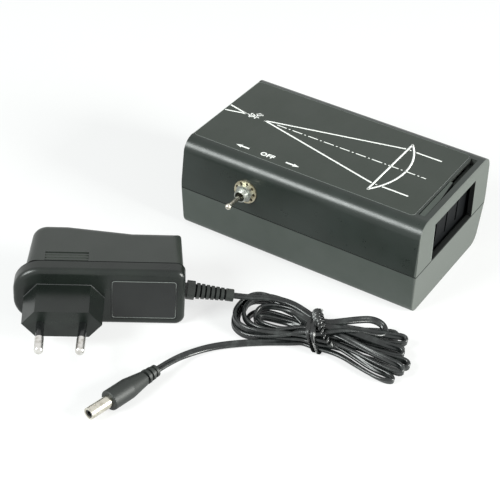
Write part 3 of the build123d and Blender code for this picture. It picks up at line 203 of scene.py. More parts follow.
class Shader(Graph):
    """A material with one Principled surface."""

    def __init__(self, name: str) -> None:
        """Starts an empty material.

        Args:
            name: the material's name.
        """
        self.material = bpy.data.materials.new(name)
        self.material.use_nodes = True
        super().__init__(self.material.node_tree)
        self.tree.nodes.clear()

    def place(self, scale: Point = (1.0, 1.0, 1.0), turn: float = 0.0) -> Value:
        """The point in the object's own frame, in metres.

        Args:
            scale: factors that stretch a pattern along X, Y and Z.
            turn: angle about Z, in degrees.

        Returns:
            The coordinates for a texture's Vector socket.
        """
        source = self.out(self.node("ShaderNodeTexCoord"), "Object")
        mapping = self.node("ShaderNodeMapping", {}, {"Vector": source})
        mapping.inputs["Scale"].default_value = scale
        mapping.inputs["Rotation"].default_value = (0.0, 0.0, math.radians(turn))
        return self.out(mapping)

    def axis(self, letter: str) -> Value:
        """One coordinate of the object's frame, in metres."""
        return self.split(self.out(self.node("ShaderNodeTexCoord"), "Object"), letter)

    def local(self, origin: Pair, yaw: float) -> tuple[Value, Value, Value]:
        """Coordinates in an upright frame of its own, in millimetres.

        Args:
            origin: the frame's origin in X and Y, in millimetres.
            yaw: angle of its first axis from X, in degrees.

        Returns:
            Distance along the frame, distance into it, and height.
        """
        turned = self.place((PER_METRE,) * 3, -yaw)
        split = self.node("ShaderNodeSeparateXYZ", {}, {0: turned})
        c, s = math.cos(math.radians(yaw)), math.sin(math.radians(yaw))
        ox, oy = origin
        along = self.out(split, "X") - (ox * c + oy * s)
        deep = self.out(split, "Y") - (oy * c - ox * s)
        return along, deep, self.out(split, "Z")

    def facing(self, letter: str) -> Value:
        """One coordinate of the surface's own normal."""
        return self.split(self.out(self.node("ShaderNodeNewGeometry"), "Normal"), letter)

    def noise(self, size: float, detail: float, place: Value | None = None) -> Value:
        """Cloudy noise from 0 to 1.

        Args:
            size: about how wide its spots are, in metres.
            detail: how many finer layers it has.
            place: its coordinates, or None for the object's own.

        Returns:
            The noise.
        """
        node = self.node(
            "ShaderNodeTexNoise",
            {"noise_dimensions": "3D"},
            {"Vector": place or self.place(), "Scale": 1.0 / size, "Detail": detail},
        )
        return self.out(node, "Fac")

    def cells(self, size: float) -> Value:
        """Distance to the nearest of scattered points about size metres apart, in cells."""
        sockets = {"Vector": self.place(), "Scale": 1.0 / size}
        return self.out(self.node("ShaderNodeTexVoronoi", {"feature": "F1"}, sockets), "Distance")

    def mix(self, factor: Value | float, low: Value | Colour, high: Value | Colour) -> Value:
        """A colour between two.

        Args:
            factor: 0 for the first, 1 for the second.
            low: the first colour.
            high: the second colour.

        Returns:
            The mixed colour.
        """
        ends = [c if isinstance(c, Value) else (*c, 1.0) for c in (low, high)]
        node = self.node("ShaderNodeMix", {"data_type": "RGBA"}, {0: factor, 6: ends[0], 7: ends[1]})
        return self.out(node, 2)

    def bump(self, height: Value, depth: float) -> Value:
        """A normal from a height, depth in metres for a height of 1."""
        sockets = {"Height": height, "Distance": depth, "Strength": 1.0}
        return self.out(self.node("ShaderNodeBump", {}, sockets))

    def surface(self, **sockets: Any) -> bpy.types.Material:
        """Ends the material with a Principled surface.

        Args:
            **sockets: its sockets, with an underscore for each space.

        Returns:
            The finished material.
        """
        named = {name.replace("_", " "): value for name, value in sockets.items()}
        main = self.node("ShaderNodeBsdfPrincipled", {}, named)
        self.node("ShaderNodeOutputMaterial", {}, {"Surface": self.out(main)})
        return self.material


class Tree(Graph):
    """A geometry node tree with named inputs, ended by Realize Instances and Set Material."""

    def __init__(self, name: str) -> None:
        """Starts a tree that takes and gives geometry.

        Args:
            name: the tree's name.
        """
        super().__init__(bpy.data.node_groups.new(name, "GeometryNodeTree"))
        self.identifiers: dict[str, str] = {}
        for way in ("INPUT", "OUTPUT"):
            self.tree.interface.new_socket("Geometry", in_out=way, socket_type="NodeSocketGeometry")
        self.start = self.node("NodeGroupInput")
        self._named("Material", "NodeSocketMaterial")

    def _named(self, name: str, kind: str, value: float | None = None) -> Value:
        """Adds one named input to the tree.

        Args:
            name: the input's name.
            kind: type of its socket.
            value: its default, or None for the socket's own.

        Returns:
            What the input gives inside the tree.
        """
        socket = self.tree.interface.new_socket(name, in_out="INPUT", socket_type=kind)
        if value is not None:
            socket.default_value = value
        self.identifiers[name] = socket.identifier
        return self.out(self.start, name)

    def size(self, name: str, value: float = 0.0) -> Value:
        """A named size of the tree, in metres or as a plain number."""
        return self._named(name, "NodeSocketFloat", value)

    def count(self, name: str, value: int) -> Value:
        """A named whole number of the tree."""
        return self._named(name, "NodeSocketInt", value)

    def spot(self) -> Value:
        """Where the tree's result goes, from inputs named X, Y and Z."""
        return self.vector(self.size("X"), self.size("Y"), self.size("Z"))

    @property
    def geometry(self) -> Value:
        """What the tree is given."""
        return self.out(self.start, "Geometry")

    def vector(self, x: Any = 0.0, y: Any = 0.0, z: Any = 0.0) -> Value:
        """A vector from three values."""
        return self.out(self.node("ShaderNodeCombineXYZ", {}, {0: x, 1: y, 2: z}))

    def circle(self, resolution: int, radius: Value | float) -> Value:
        """A round curve of so many points."""
        sockets = {"Resolution": resolution, "Radius": radius}
        return self.out(self.node("GeometryNodeCurvePrimitiveCircle", {"mode": "RADIUS"}, sockets))

    def outline(self, resolution: int) -> tuple[Value, Value, Value]:
        """A circle of radius 1 that is to be reshaped.

        Args:
            resolution: number of its points.

        Returns:
            The circle, and the x and y of its points.
        """
        ring = self.circle(resolution, 1.0)
        place = self.out(self.node("GeometryNodeInputPosition"))
        return ring, self.split(place, "X"), self.split(place, "Y")

    def reshaped(self, curve: Value, place: Value) -> Value:
        """A curve with its points put elsewhere."""
        return self.out(self.node("GeometryNodeSetPosition", {}, {"Geometry": curve, "Position": place}))

    def rectangle(self, width: Value, height: Value) -> Value:
        """A rectangular curve."""
        kind, sockets = "GeometryNodeCurvePrimitiveQuadrilateral", {"Width": width, "Height": height}
        return self.out(self.node(kind, {"mode": "RECTANGLE"}, sockets))

    def swept(self, curve: Value, section: Value, capped: bool = True) -> Value:
        """A section swept along a curve, with or without caps."""
        sockets = {"Curve": curve, "Profile Curve": section, "Fill Caps": capped}
        return self.out(self.node("GeometryNodeCurveToMesh", {}, sockets))

    def repeated(self, points: Value, piece: Value, **sockets: Value) -> Value:
        """A piece put on each of the points."""
        inputs = {"Points": points, "Instance": piece, **sockets}
        return self.out(self.node("GeometryNodeInstanceOnPoints", {}, inputs))

    def moved(self, geometry: Value, place: Value, turn: Value | Point = (0.0, 0.0, 0.0)) -> Value:
        """Geometry turned round the origin and then moved to a place."""
        sockets = {"Geometry": geometry, "Rotation": turn, "Translation": place}
        return self.out(self.node("GeometryNodeTransform", {}, sockets))

    def smooth(self, geometry: Value) -> Value:
        """Geometry with smooth shading."""
        sockets = {"Geometry": geometry, "Shade Smooth": True}
        return self.out(self.node("GeometryNodeSetShadeSmooth", {}, sockets))

    def end(self, geometry: Value) -> Tree:
        """Ends the tree: instances made real, then the material set.

        Args:
            geometry: what the tree has made.

        Returns:
            The tree itself.
        """
        real = self.out(self.node("GeometryNodeRealizeInstances", {}, {0: geometry}))
        material = self.out(self.start, "Material")
        done = self.out(self.node("GeometryNodeSetMaterial", {}, {0: real, 2: material}))
        self.tree.links.new(done.socket, self.node("NodeGroupOutput").inputs[0])
        return self


def metres(places: Iterable[Point]) -> list[Point]:
    """Points in metres from points in millimetres."""
    return [(x * MM, y * MM, z * MM) for x, y, z in places]


def lighter(colour: Colour, gain: float, lift: float) -> Colour:
    """A colour with each channel multiplied and raised, to 1 at most."""
    return tuple(min(1.0, channel * gain + lift) for channel in colour)


def link(name: str, data: bpy.types.ID) -> bpy.types.Object:
    """Puts a new object at the origin of the scene.

    Args:
        name: the object's name.
        data: its mesh, curve, light or camera.

    Returns:
        The object.
    """
    made = bpy.data.objects.new(name, data)
    bpy.context.scene.collection.objects.link(made)
    return made


def plain_mesh(holder: bpy.types.Object) -> bpy.types.Mesh:
    """Turns what an object shows into a mesh and removes the object.

    Args:
        holder: a curve, a text or an object with a modifier.

    Returns:
        The mesh.
    """
    bpy.context.view_layer.update()
    graph = bpy.context.evaluated_depsgraph_get()
    mesh = bpy.data.meshes.new_from_object(holder.evaluated_get(graph))
    bpy.data.objects.remove(holder)
    return mesh


def grow(name: str, tree: Tree, source: bpy.types.ID, values: dict[str, Any]) -> bpy.types.Object:
    """Runs a geometry tree on a mesh or curve and keeps the result as a plain mesh.

    Args:
        name: the piece's name.
        tree: the geometry tree.
        source: the mesh or curve data that it starts from.
        values: its named inputs.

    Returns:
        The piece, with no modifier left on it.
    """
    holder = link(name + "_source", source)
    modifier = holder.modifiers.new("grown", "NODES")
    modifier.node_group = tree.tree
    for label, value in values.items():
        modifier[tree.identifiers[label]] = value
    mesh = plain_mesh(holder)
    mesh.name = name
    return link(name, mesh)


def at(place: Iterable[float]) -> dict[str, float]:
    """Inputs X, Y and Z of a tree, in metres, for a place in millimetres."""
    return {letter: part * MM for letter, part in zip("XYZ", place)}


def bare_curve(name: str, kind: str, runs: Sequence[Sequence[Point]]) -> bpy.types.Curve:
    """A curve in space whose normals keep level.

    Args:
        name: the curve's name.
        kind: type of its splines.
        runs: the points of each spline, in metres.

    Returns:
        The curve.
    """
    curve = bpy.data.curves.new(name, "CURVE")
    curve.dimensions = "3D"
    curve.twist_mode = "Z_UP"
    for run in runs:
        spline = curve.splines.new(kind)
        spline.points.add(len(run) - 1)
        for point, place in zip(spline.points, run):
            point.co = (*place, 1.0)
    return curve


def nurbs(
    name: str, runs: Sequence[Sequence[Point]], tilts: Sequence[Sequence[float]] = ()
) -> bpy.types.Curve:
    """A curve of open order-3 splines.

    Args:
        name: the curve's name.
        runs: the control points of each spline, in metres.
        tilts: the tilt at each control point, in radians.

    Returns:
        The curve.
    """
    curve = bare_curve(name, "NURBS", runs)
    curve.resolution_u = 6
    for spline in curve.splines:
        spline.order_u = 3
        spline.use_endpoint_u = True
    for spline, leans in zip(curve.splines, tilts):
        for point, lean in zip(spline.points, leans):
            point.tilt = lean
    return curve


def paths(name: str, runs: Sequence[Sequence[Point]], closed: bool = False) -> bpy.types.Curve:
    """A curve of straight runs.

    Args:
        name: the curve's name.
        runs: the corners of each run, in metres.
        closed: whether each run ends where it starts.

    Returns:
        The curve.
    """
    curve = bare_curve(name, "POLY", runs)
    for spline in curve.splines:
        spline.use_cyclic_u = closed
    return curve


def spots(name: str, places: Sequence[Point] = ((0.0, 0.0, 0.0),)) -> bpy.types.Mesh:
    """A mesh of loose points that a tree starts from.

    Args:
        name: the mesh's name.
        places: the points, in metres.

    Returns:
        The mesh.
    """
    mesh = bpy.data.meshes.new(name)
    mesh.from_pydata(places, [], [])
    return mesh


def slab(name: str, outlines: Sequence[Sequence[Pair]], low: float, high: float) -> bpy.types.Mesh:
    """Flat closed slabs cut to outlines.

    Args:
        name: the mesh's name.
        outlines: the corners of each, anticlockwise, in millimetres.
        low: height of their undersides in millimetres.
        high: height of their tops.

    Returns:
        The mesh, in metres.
    """
    points: list[Point] = []
    faces: list[tuple[int, ...]] = []
    for outline in outlines:
        first, count = len(points), len(outline)
        for level in (low, high):
            points += metres((x, y, level) for x, y in outline)
        faces.append(tuple(first + i for i in reversed(range(count))))
        faces.append(tuple(first + count + i for i in range(count)))
        for i in range(count):
            j = (i + 1) % count
            faces.append((first + i, first + j, first + count + j, first + count + i))
    mesh = bpy.data.meshes.new(name)
    mesh.from_pydata(points, [], faces)
    return mesh


def rounded(width: float, height: float, radius: float, steps: int = 6) -> list[Pair]:
    """Corners of a rectangle with rounded corners round the origin, anticlockwise.

    Args:
        width: its width in millimetres.
        height: its height.
        radius: radius of its corners.
        steps: straight pieces in each rounded corner.

    Returns:
        The corners, in millimetres.
    """
    corners = []
    for sx, sy, start in ((1, -1, -90), (1, 1, 0), (-1, 1, 90), (-1, -1, 180)):
        cx, cy = sx * (width / 2 - radius), sy * (height / 2 - radius)
        for step in range(steps + 1):
            a = math.radians(start + 90 / steps * step)
            corners.append((cx + radius * math.cos(a), cy + radius * math.sin(a)))
    return corners


def line_points(name: str, curve: bpy.types.Curve) -> list[Point]:
    """Reads the points of a curve's own line.

    Args:
        name: the curve's name.
        curve: a curve with no bevel.

    Returns:
        The points, in metres.
    """
    mesh = plain_mesh(link(name + "_line", curve))
    points = [tuple(v.co) for v in mesh.vertices]
    bpy.data.meshes.remove(mesh)
    return points


def joined(name: str, parts: list[bpy.types.Object]) -> bpy.types.Object:
    """Joins meshes that sit at the origin into one piece.

    Args:
        name: the piece's name.
        parts: the objects to join.

    Returns:
        The joined object.
    """
    with bpy.context.temp_override(
        active_object=parts[0], selected_objects=parts, selected_editable_objects=parts
    ):
        bpy.ops.object.join()
    parts[0].name = name
    parts[0].data.name = name
    return parts[0]


def finished(piece: bpy.types.Object) -> bpy.types.Object:
    """Lets a piece ride on the fixed body and reports it.

    Args:
        piece: the piece.

    Returns:
        The piece.
    """
    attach(piece, ROOT)
    log.info("%s: %d faces", piece.name, len(piece.data.polygons))
    return piece


# ---------------------------------------------------------------- finishes
# Widths of the cloudy patterns, in metres.
CLOUD_SIZE = 0.018
SMEAR_SIZE = 0.006
HIGHLIGHT_BREAK_SIZE = 0.0016
STAIN_SIZE = 0.0025
SKIN_SIZE = 0.0006
DUST_SIZE = 0.004
LAY_SIZE = 0.0005
HAZE_SIZE = 0.01
SPECK_SPACING = 0.0035
# Stretch of the smears along X, Y and Z, and their turn about Z in degrees.
SMEAR_STRETCH = (1.0, 0.35, 1.0)
SMEAR_TURN = 28.0
# Heights of the finest marks, in metres.
MARK_DEPTH = 0.000012
SKIN_DEPTH = 0.00001
LAY_DEPTH = 0.000006


class Finish:
    """What a surface is made of; each kind works out its own sockets."""

    def sockets(self, s: Shader) -> dict[str, Any]:
        """The surface's sockets by name, with an underscore for each space."""
        raise NotImplementedError

    def material(self, name: str) -> bpy.types.Material:
        """Builds the material.

        Args:
            name: the material's name.

        Returns:
            The material.
        """
        s = Shader(name)
        return s.surface(**self.sockets(s))


@dataclass(frozen=True)
class Patch:
    """A box-shaped zone of a surface with another colour, in millimetres: the thing's own colour, painted
    shade or painted light.

    Attributes:
        low: its lowest corner; None leaves that side open.
        high: its highest corner.
        colour: colour inside it.
        roughness: roughness inside it.
        metal: 1 for bare metal, and for painted shade in a deep gap, where it takes the sheen away.
        soft: width of its blurred border.
        origin: origin of the upright frame that the corners are given in.
        yaw: turn of that frame in degrees.
        inward: leaves out faces that look along +X.
    """

    low: tuple[float | None, float | None, float | None]
    high: tuple[float | None, float | None, float | None]
    # The defaults give painted shade: near black, with no sheen.
    colour: Colour = (0.008, 0.009, 0.009)
    roughness: float = 0.8
    metal: float = 1.0
    soft: float = 0.08
    origin: Pair = (0.0, 0.0)
    yaw: float = 0.0
    inward: bool = False

    def mask(self, s: Shader) -> Value:
        """Works out where the zone is.

        Args:
            s: the material that it goes into.

        Returns:
            1 inside the zone.
        """
        places = s.local(self.origin, self.yaw)
        inside: Value | float = 1.0
        for place, low, high in zip(places, self.low, self.high):
            if low is not None:
                inside = inside * place.eased(low - self.soft, low)
            if high is not None:
                inside = inside * (1.0 - place.eased(high, high + self.soft))
        if self.inward:
            inside = inside * (1.0 - s.facing("X").eased(0.4, 0.6))
        return inside


@dataclass(frozen=True)
class GrooveShade:
    """Painted shade in the deep grooves between the ribs of a straight piece, in millimetres.

    Attributes:
        start: point of the axis that distances are counted from.
        axis: direction of the piece.
        first: distance of the first groove's near edge.
        last: distance past which there is no groove.
        pitch: distance from groove to groove.
        width: width of a groove.
        colour: colour of the painted shade inside a groove.
        roughness: roughness inside it.
        metal: 1 takes the sheen out of the painted shade in a groove.
    """

    start: Point
    axis: Point
    first: float
    last: float
    pitch: float
    width: float
    colour: Colour = (0.012, 0.013, 0.013)
    roughness: float = 0.8
    metal: float = 1.0

    def mask(self, s: Shader) -> Value:
        """Works out where the painted shade in the grooves goes.

        Args:
            s: the material that they go into.

        Returns:
            1 inside a groove.
        """
        x, y, z = (s.axis(letter) * (part * PER_METRE) for letter, part in zip("XYZ", self.axis))
        along = x + y + z - sum(a * b for a, b in zip(self.start, self.axis))
        phase = s.math("FRACT", (along - self.first) / self.pitch)
        share, soft = self.width / self.pitch, 0.05
        return (1.0 - phase.eased(share - soft, share)) * (along > self.first) * (along < self.last)


@dataclass(frozen=True)
class MouldedPlastic(Finish):
    """Moulded plastic with a spark-eroded grain.

    Attributes:
        colour: base colour.
        shade: colour of the faintly different patches.
        roughness: mean roughness.
        grain: size of the grain in metres.
        depth: height of the grain in metres.
        gloss: how much light the surface mirrors.
        dust: how much the specks of dust show.
        patches: zones with other colours: the thing's own, painted shade or painted light.
        rims: x, y and z beyond which edges get a painted highlight, in millimetres, or None.
    """

    colour: Colour
    shade: Colour
    roughness: float = 0.45
    grain: float = 0.00045
    depth: float = 0.00003
    gloss: float = 0.5
    dust: float = 0.3
    patches: tuple[Patch | GrooveShade, ...] = ()
    rims: Point | None = None

    def _edge_highlight(self, s: Shader, rims: Point) -> Value:
        """Works out where two outer faces meet, for a painted highlight along their edge.

        Args:
            s: the material.
            rims: x, y and z of the outer faces, in millimetres.

        Returns:
            1 on the spots of painted highlight.
        """
        reach = 0.7
        near = [
            abs(s.axis(letter) * PER_METRE).eased(limit - reach, limit)
            for letter, limit in zip("XYZ", rims)
        ]
        pairs = near[0] * near[1] + near[0] * near[2]
        return pairs.eased(0.2, 0.9) * s.noise(HIGHLIGHT_BREAK_SIZE, 4.0).eased(0.3, 0.6)

    def sockets(self, s: Shader) -> dict[str, Any]:
        """Works out the surface.

        Args:
            s: the material.

        Returns:
            The surface's sockets.
        """
        grain = s.noise(self.grain, 3.0)
        clouds = s.noise(CLOUD_SIZE, 3.0)
        smear = s.noise(SMEAR_SIZE, 4.0, s.place(SMEAR_STRETCH, SMEAR_TURN))
        specks = 1.0 - s.cells(SPECK_SPACING).eased(0.03, 0.07)
        tint = s.mix(clouds.eased(0.3, 0.7), self.colour, self.shade)
        tint = s.mix(specks * self.dust, tint, lighter(self.colour, 1.9, 0.02))
        rough = self.roughness + (smear - 0.5) * 0.16 + (grain - 0.5) * 0.1 + specks * 0.05
        metal: Value | float = 0.0
        if self.rims:
            # Painted highlight along the outer edges, broken into patches by noise.
            worn = self._edge_highlight(s, self.rims)
            tint = s.mix(worn * 0.55, tint, lighter(self.colour, 2.6, 0.04))
            rough = rough - worn * 0.06
        for patch in self.patches:
            inside = patch.mask(s)
            tint = s.mix(inside, tint, patch.colour)
            rough = rough + inside * (patch.roughness - rough)
            if patch.metal:
                metal = inside * patch.metal + metal
        return {
            "Base_Color": tint,
            "Roughness": rough,
            "Metallic": metal,
            "Specular_IOR_Level": self.gloss,
            "Normal": s.bump(grain, self.depth),
        }


@dataclass(frozen=True)
class PlatedMetal(Finish):
    """Plated or bare metal with fine turning or rolling marks.

    Attributes:
        colour: colour of the clean metal.
        dull: colour where it has dulled.
        roughness: mean roughness.
        marks: spacing of the fine marks in metres.
        stretch: factors that draw the marks out along X, Y and Z.
    """

    colour: Colour
    dull: Colour
    roughness: float = 0.25
    marks: float = 0.0004
    stretch: Point = (1.0, 1.0, 1.0)

    def sockets(self, s: Shader) -> dict[str, Any]:
        """Works out the surface.

        Args:
            s: the material.

        Returns:
            The surface's sockets.
        """
        marks = s.noise(self.marks, 4.0, s.place(self.stretch))
        stain = s.noise(STAIN_SIZE, 4.0)
        tint = s.mix(stain.eased(0.42, 0.72), self.colour, self.dull)
        rough = self.roughness + (marks - 0.5) * 0.22 + stain.eased(0.5, 0.8) * 0.14
        normal = s.bump(marks, MARK_DEPTH)
        return {"Base_Color": tint, "Metallic": 1.0, "Roughness": rough, "Normal": normal}


@dataclass(frozen=True)
class CordSheath(Finish):
    """Soft extruded PVC with a low sheen and fine drawing lines.

    Attributes:
        colour: base colour.
        worn: colour where it is dusty.
        roughness: mean roughness.
    """

    colour: Colour = (0.008, 0.0095, 0.0095)
    worn: Colour = (0.03, 0.034, 0.033)
    roughness: float = 0.27

    def sockets(self, s: Shader) -> dict[str, Any]:
        """Works out the surface.

        Args:
            s: the material.

        Returns:
            The surface's sockets.
        """
        skin = s.noise(SKIN_SIZE, 3.0)
        dusty = s.noise(DUST_SIZE, 4.0)
        tint = s.mix(dusty.eased(0.45, 0.8), self.colour, self.worn)
        rough = self.roughness + (dusty - 0.5) * 0.25 + (skin - 0.5) * 0.1
        return {"Base_Color": tint, "Roughness": rough, "Normal": s.bump(skin, SKIN_DEPTH)}


@dataclass(frozen=True)
class PrintedInk(Finish):
    """Screen-printed ink with a slightly uneven lay.

    Attributes:
        colour: colour of the full lay.
        thin: how much of it is left where the lay is thin.
    """

    colour: Colour = (0.82, 0.84, 0.82)
    thin: float = 0.86

    def sockets(self, s: Shader) -> dict[str, Any]:
        """Works out the surface.

        Args:
            s: the material.

        Returns:
            The surface's sockets.
        """
        lay = s.noise(LAY_SIZE, 3.0)
        tint = s.mix(lay.eased(0.3, 0.75), self.colour, tuple(c * self.thin for c in self.colour))
        rough = 0.5 + (lay - 0.5) * 0.2
        return {"Base_Color": tint, "Roughness": rough, "Normal": s.bump(lay, LAY_DEPTH)}


class Ink(Enum):
    """Inks of the printed marks, and the colour of the faint pale lines along the edges of the lid's sheet
    and the rating plate.
    """

    WHITE = PrintedInk((0.95, 0.96, 0.94))
    # FAINT colours the faint pale lines along the edges of the lid's sheet and the rating plate.
    FAINT = PrintedInk((0.15, 0.165, 0.155))


@dataclass(frozen=True)
class ClearAcrylic(Finish):
    """Clear polished acrylic with a little haze.

    Attributes:
        tint: its faint colour.
    """

    tint: Colour = (0.93, 0.96, 0.97)

    def sockets(self, s: Shader) -> dict[str, Any]:
        """Works out the surface.

        Args:
            s: the material.

        Returns:
            The surface's sockets.
        """
        rough = 0.03 + s.noise(HAZE_SIZE, 2.0) * 0.05
        tint = (*self.tint, 1.0)
        return {"Base_Color": tint, "Roughness": rough, "IOR": 1.49, "Transmission_Weight": 1.0}


def put(nodes: Nodes, finish: Finish, name: str, *solids: str) -> bpy.types.Material:
    """Gives one finish to several solids of the frame.

    Args:
        nodes: the frame's solids by name.
        finish: the finish.
        name: the material's name.
        *solids: the solids that get it.

    Returns:
        The material.
    """
    material = finish.material(name)
    for solid in solids:
        data = nodes[solid].data
        data.materials.clear()
        data.materials.append(material)
    return material


# ---------------------------------------------------------------- trees that several pieces share
def wire_tree() -> Tree:
    """Makes a tree that sweeps a round wire along every run of a curve.

    Returns:
        The tree.
    """
    t = Tree("round_wire")
    section = t.circle(10, t.size("Radius", 0.0003))
    return t.end(t.smooth(t.swept(t.geometry, section)))


def bar_tree() -> Tree:
    """Makes a tree that sweeps a flat bar along every run of a level curve.

    Returns:
        The tree.
    """
    t = Tree("flat_bar")
    section = t.rectangle(t.size("Width", 0.0008), t.size("Thickness", 0.00005))
    return t.end(t.swept(t.geometry, section))


def ring_tree() -> Tree:
    """Makes a tree that puts a ring of flat round drops round a centre, facing any way.

    Returns:
        The tree.
    """
    t = Tree("ring_of_drops")
    count, ring, radius = t.count("Count", 6), t.size("Ring", 0.007), t.size("Radius", 0.001)
    flat, turned = t.size("Flatness", 0.3), t.vector(t.size("Tip"), t.size("Turn"))
    circle = t.node("GeometryNodeMeshCircle", {}, {"Vertices": count, "Radius": ring})
    drop = t.node("GeometryNodeMeshUVSphere", {}, {"Segments": 16, "Rings": 8, "Radius": radius})
    drops = t.repeated(t.out(circle), t.out(drop, "Mesh"), Scale=t.vector(1.0, 1.0, flat))
    return t.end(t.smooth(t.moved(drops, t.spot(), turned)))


def stud_tree() -> Tree:
    """Makes a tree that puts a low round stud on every point, along +Z.

    Returns:
        The tree.
    """
    t = Tree("round_stud")
    radius, height, crown = t.size("Radius", 0.0004), t.size("Height", 0.00005), t.size("Crown", 1.0)
    sizes = {"Radius Top": radius * crown, "Radius Bottom": radius, "Depth": height}
    drum = t.node(
        "GeometryNodeMeshCone", {"fill_type": "NGON"}, {"Vertices": 20, "Side Segments": 1, **sizes}
    )
    return t.end(t.repeated(t.geometry, t.out(drum, "Mesh")))


# ---------------------------------------------------------------- stage
@dataclass(frozen=True)
class Lamp:
    """A square soft lamp.

    Attributes:
        name: its name.
        place: where it hangs, in metres.
        size: its side in metres.
        power: its power in watts.
        tint: colour of its light.
        aim: point that it looks at, in metres.
    """

    name: str
    place: Point
    size: float
    power: float
    tint: Colour = (1.0, 1.0, 1.0)
    aim: Point = (0.0, -0.05, 0.02)


@dataclass
class Stage:
    """Floor, light and the camera.

    Attributes:
        target: point that the camera looks at, in millimetres.
        distance: camera distance in millimetres.
        azimuth: camera azimuth in degrees.
        elevation: camera height above the horizon in degrees.
        roll: camera roll in degrees.
        lens: focal length in millimetres.
        sensor: width of the sensor in millimetres.
        reach: half the floor's side in metres.
        paper: colour of the floor.
        glow: share of plain white in the floor that the camera sees.
        surround: colour of the light from all sides.
        fill: strength of that light.
        lamps: the soft lamps.
    """

    target: Point = (-11.49, -59.6, 19.69)
    distance: float = 700.11
    azimuth: float = 28.92
    elevation: float = 36.05
    roll: float = 3.96
    lens: float = 108.0
    sensor: float = 36.0
    reach: float = 4.0
    paper: Colour = (0.86, 0.87, 0.87)
    glow: float = 0.67
    surround: Colour = (0.96, 1.0, 0.97)
    fill: float = 0.28
    lamps: tuple[Lamp, ...] = (
        Lamp("front_left", (-0.47, -1.0, 0.68), 0.52, 18.0, (0.95, 1.0, 0.98)),
        Lamp("right", (1.15, 0.05, 0.40), 0.6, 31.0, (0.98, 1.0, 0.96)),
    )

    def camera(self) -> None:
        """Makes the camera."""
        a, e, r = (math.radians(v) for v in (self.azimuth, self.elevation, self.roll))
        back = Vector((math.sin(a) * math.cos(e), -math.cos(a) * math.cos(e), math.sin(e)))
        right = (-back).cross(Vector((0, 0, 1))).normalized()
        up = right.cross(-back)
        turned = right * math.cos(r) + up * math.sin(r)
        raised = up * math.cos(r) - right * math.sin(r)
        data = bpy.data.cameras.new("camera")
        data.lens = self.lens
        data.sensor_width = self.sensor
        data.clip_start, data.clip_end = 0.05, 20.0
        made = link("camera", data)
        axes = Matrix((turned, raised, back)).transposed().to_4x4()
        made.matrix_world = Matrix.Translation((Vector(self.target) + back * self.distance) * MM) @ axes
        bpy.context.scene.camera = made
        log.info("camera at %s", [round(v, 4) for v in made.location])

    def lamp(self, lamp: Lamp) -> None:
        """Makes one soft lamp.

        Args:
            lamp: the lamp.
        """
        data = bpy.data.lights.new(lamp.name, "AREA")
        data.shape, data.size = "SQUARE", lamp.size
        data.energy, data.color = lamp.power, lamp.tint
        made = link(lamp.name, data)
        made.location = lamp.place
        aim = Vector(lamp.aim) - Vector(lamp.place)
        made.rotation_euler = aim.to_track_quat("-Z", "Y").to_euler()

    def floor(self) -> None:
        """Makes the pale floor, white to the eye and soft in the shadow."""
        mesh = bpy.data.meshes.new("floor")
        r = self.reach
        corners = [(-r, -r, 0), (r, -r, 0), (r, r, 0), (-r, r, 0)]
        mesh.from_pydata(corners, [], [(0, 1, 2, 3)])
        made = link("floor", mesh)
        graph = Shader("floor_white")
        rays = graph.seen()
        paper = graph.out(graph.node("ShaderNodeBsdfDiffuse", {}, {"Color": (*self.paper, 1.0)}))
        glow = graph.out(graph.node("ShaderNodeEmission", {}, {"Color": (1, 1, 1, 1), "Strength": 1.0}))
        mixed = graph.node("ShaderNodeMixShader", {}, {0: rays * self.glow, 1: paper, 2: glow})
        graph.node("ShaderNodeOutputMaterial", {}, {"Surface": graph.out(mixed)})
        mesh.materials.append(graph.material)

    def world(self) -> None:
        """Makes a white surround that lights the set at a plain level."""
        world = bpy.data.worlds.new("studio")
        world.use_nodes = True
        bpy.context.scene.world = world
        graph = Graph(world.node_tree)
        graph.tree.nodes.clear()
        rays = graph.seen()
        soft, white = (
            graph.node("ShaderNodeBackground", {}, {"Color": (*colour, 1.0), "Strength": strength})
            for colour, strength in ((self.surround, self.fill), ((1.0, 1.0, 1.0), 1.0))
        )
        mixed = graph.node("ShaderNodeMixShader", {}, {0: rays, 1: graph.out(soft), 2: graph.out(white)})
        graph.node("ShaderNodeOutputWorld", {}, {"Surface": graph.out(mixed)})

    def build(self) -> None:
        """Builds the whole stage."""
        self.camera()
        self.floor()
        self.world()
        for lamp in self.lamps:
            self.lamp(lamp)
        bpy.context.scene.view_settings.view_transform = "Standard"


# ---------------------------------------------------------------- lead
@dataclass(frozen=True)
class LeftLoop:
    """A left-hand loop of the hank, in millimetres.

    Attributes:
        near: (y, z) of its near side.
        far: (y, z) of its far side.
        end_x: x of its end.
        end_z: height of its end.
    """

    near: Pair
    far: Pair
    end_x: float
    end_z: float


@dataclass(frozen=True)
class Turn:
    """One turn of the hank, right-hand loop first, then the left-hand loop, in millimetres.

    Attributes:
        out: (y, z) where the strand crosses the tie towards +X.
        right: control points round the right-hand loop.
        back: (y, z) where it crosses the tie towards -X.
        left: the left-hand loop, or None on the last turn.
        tilts: how far the flat lead stands on edge at the loop's points, in degrees.
    """

    out: Pair
    right: tuple[Point, ...]
    back: Pair
    left: LeftLoop | None
    tilts: tuple[float, ...] = (25, 38, 55, 85, 85, 55, 38, 25)


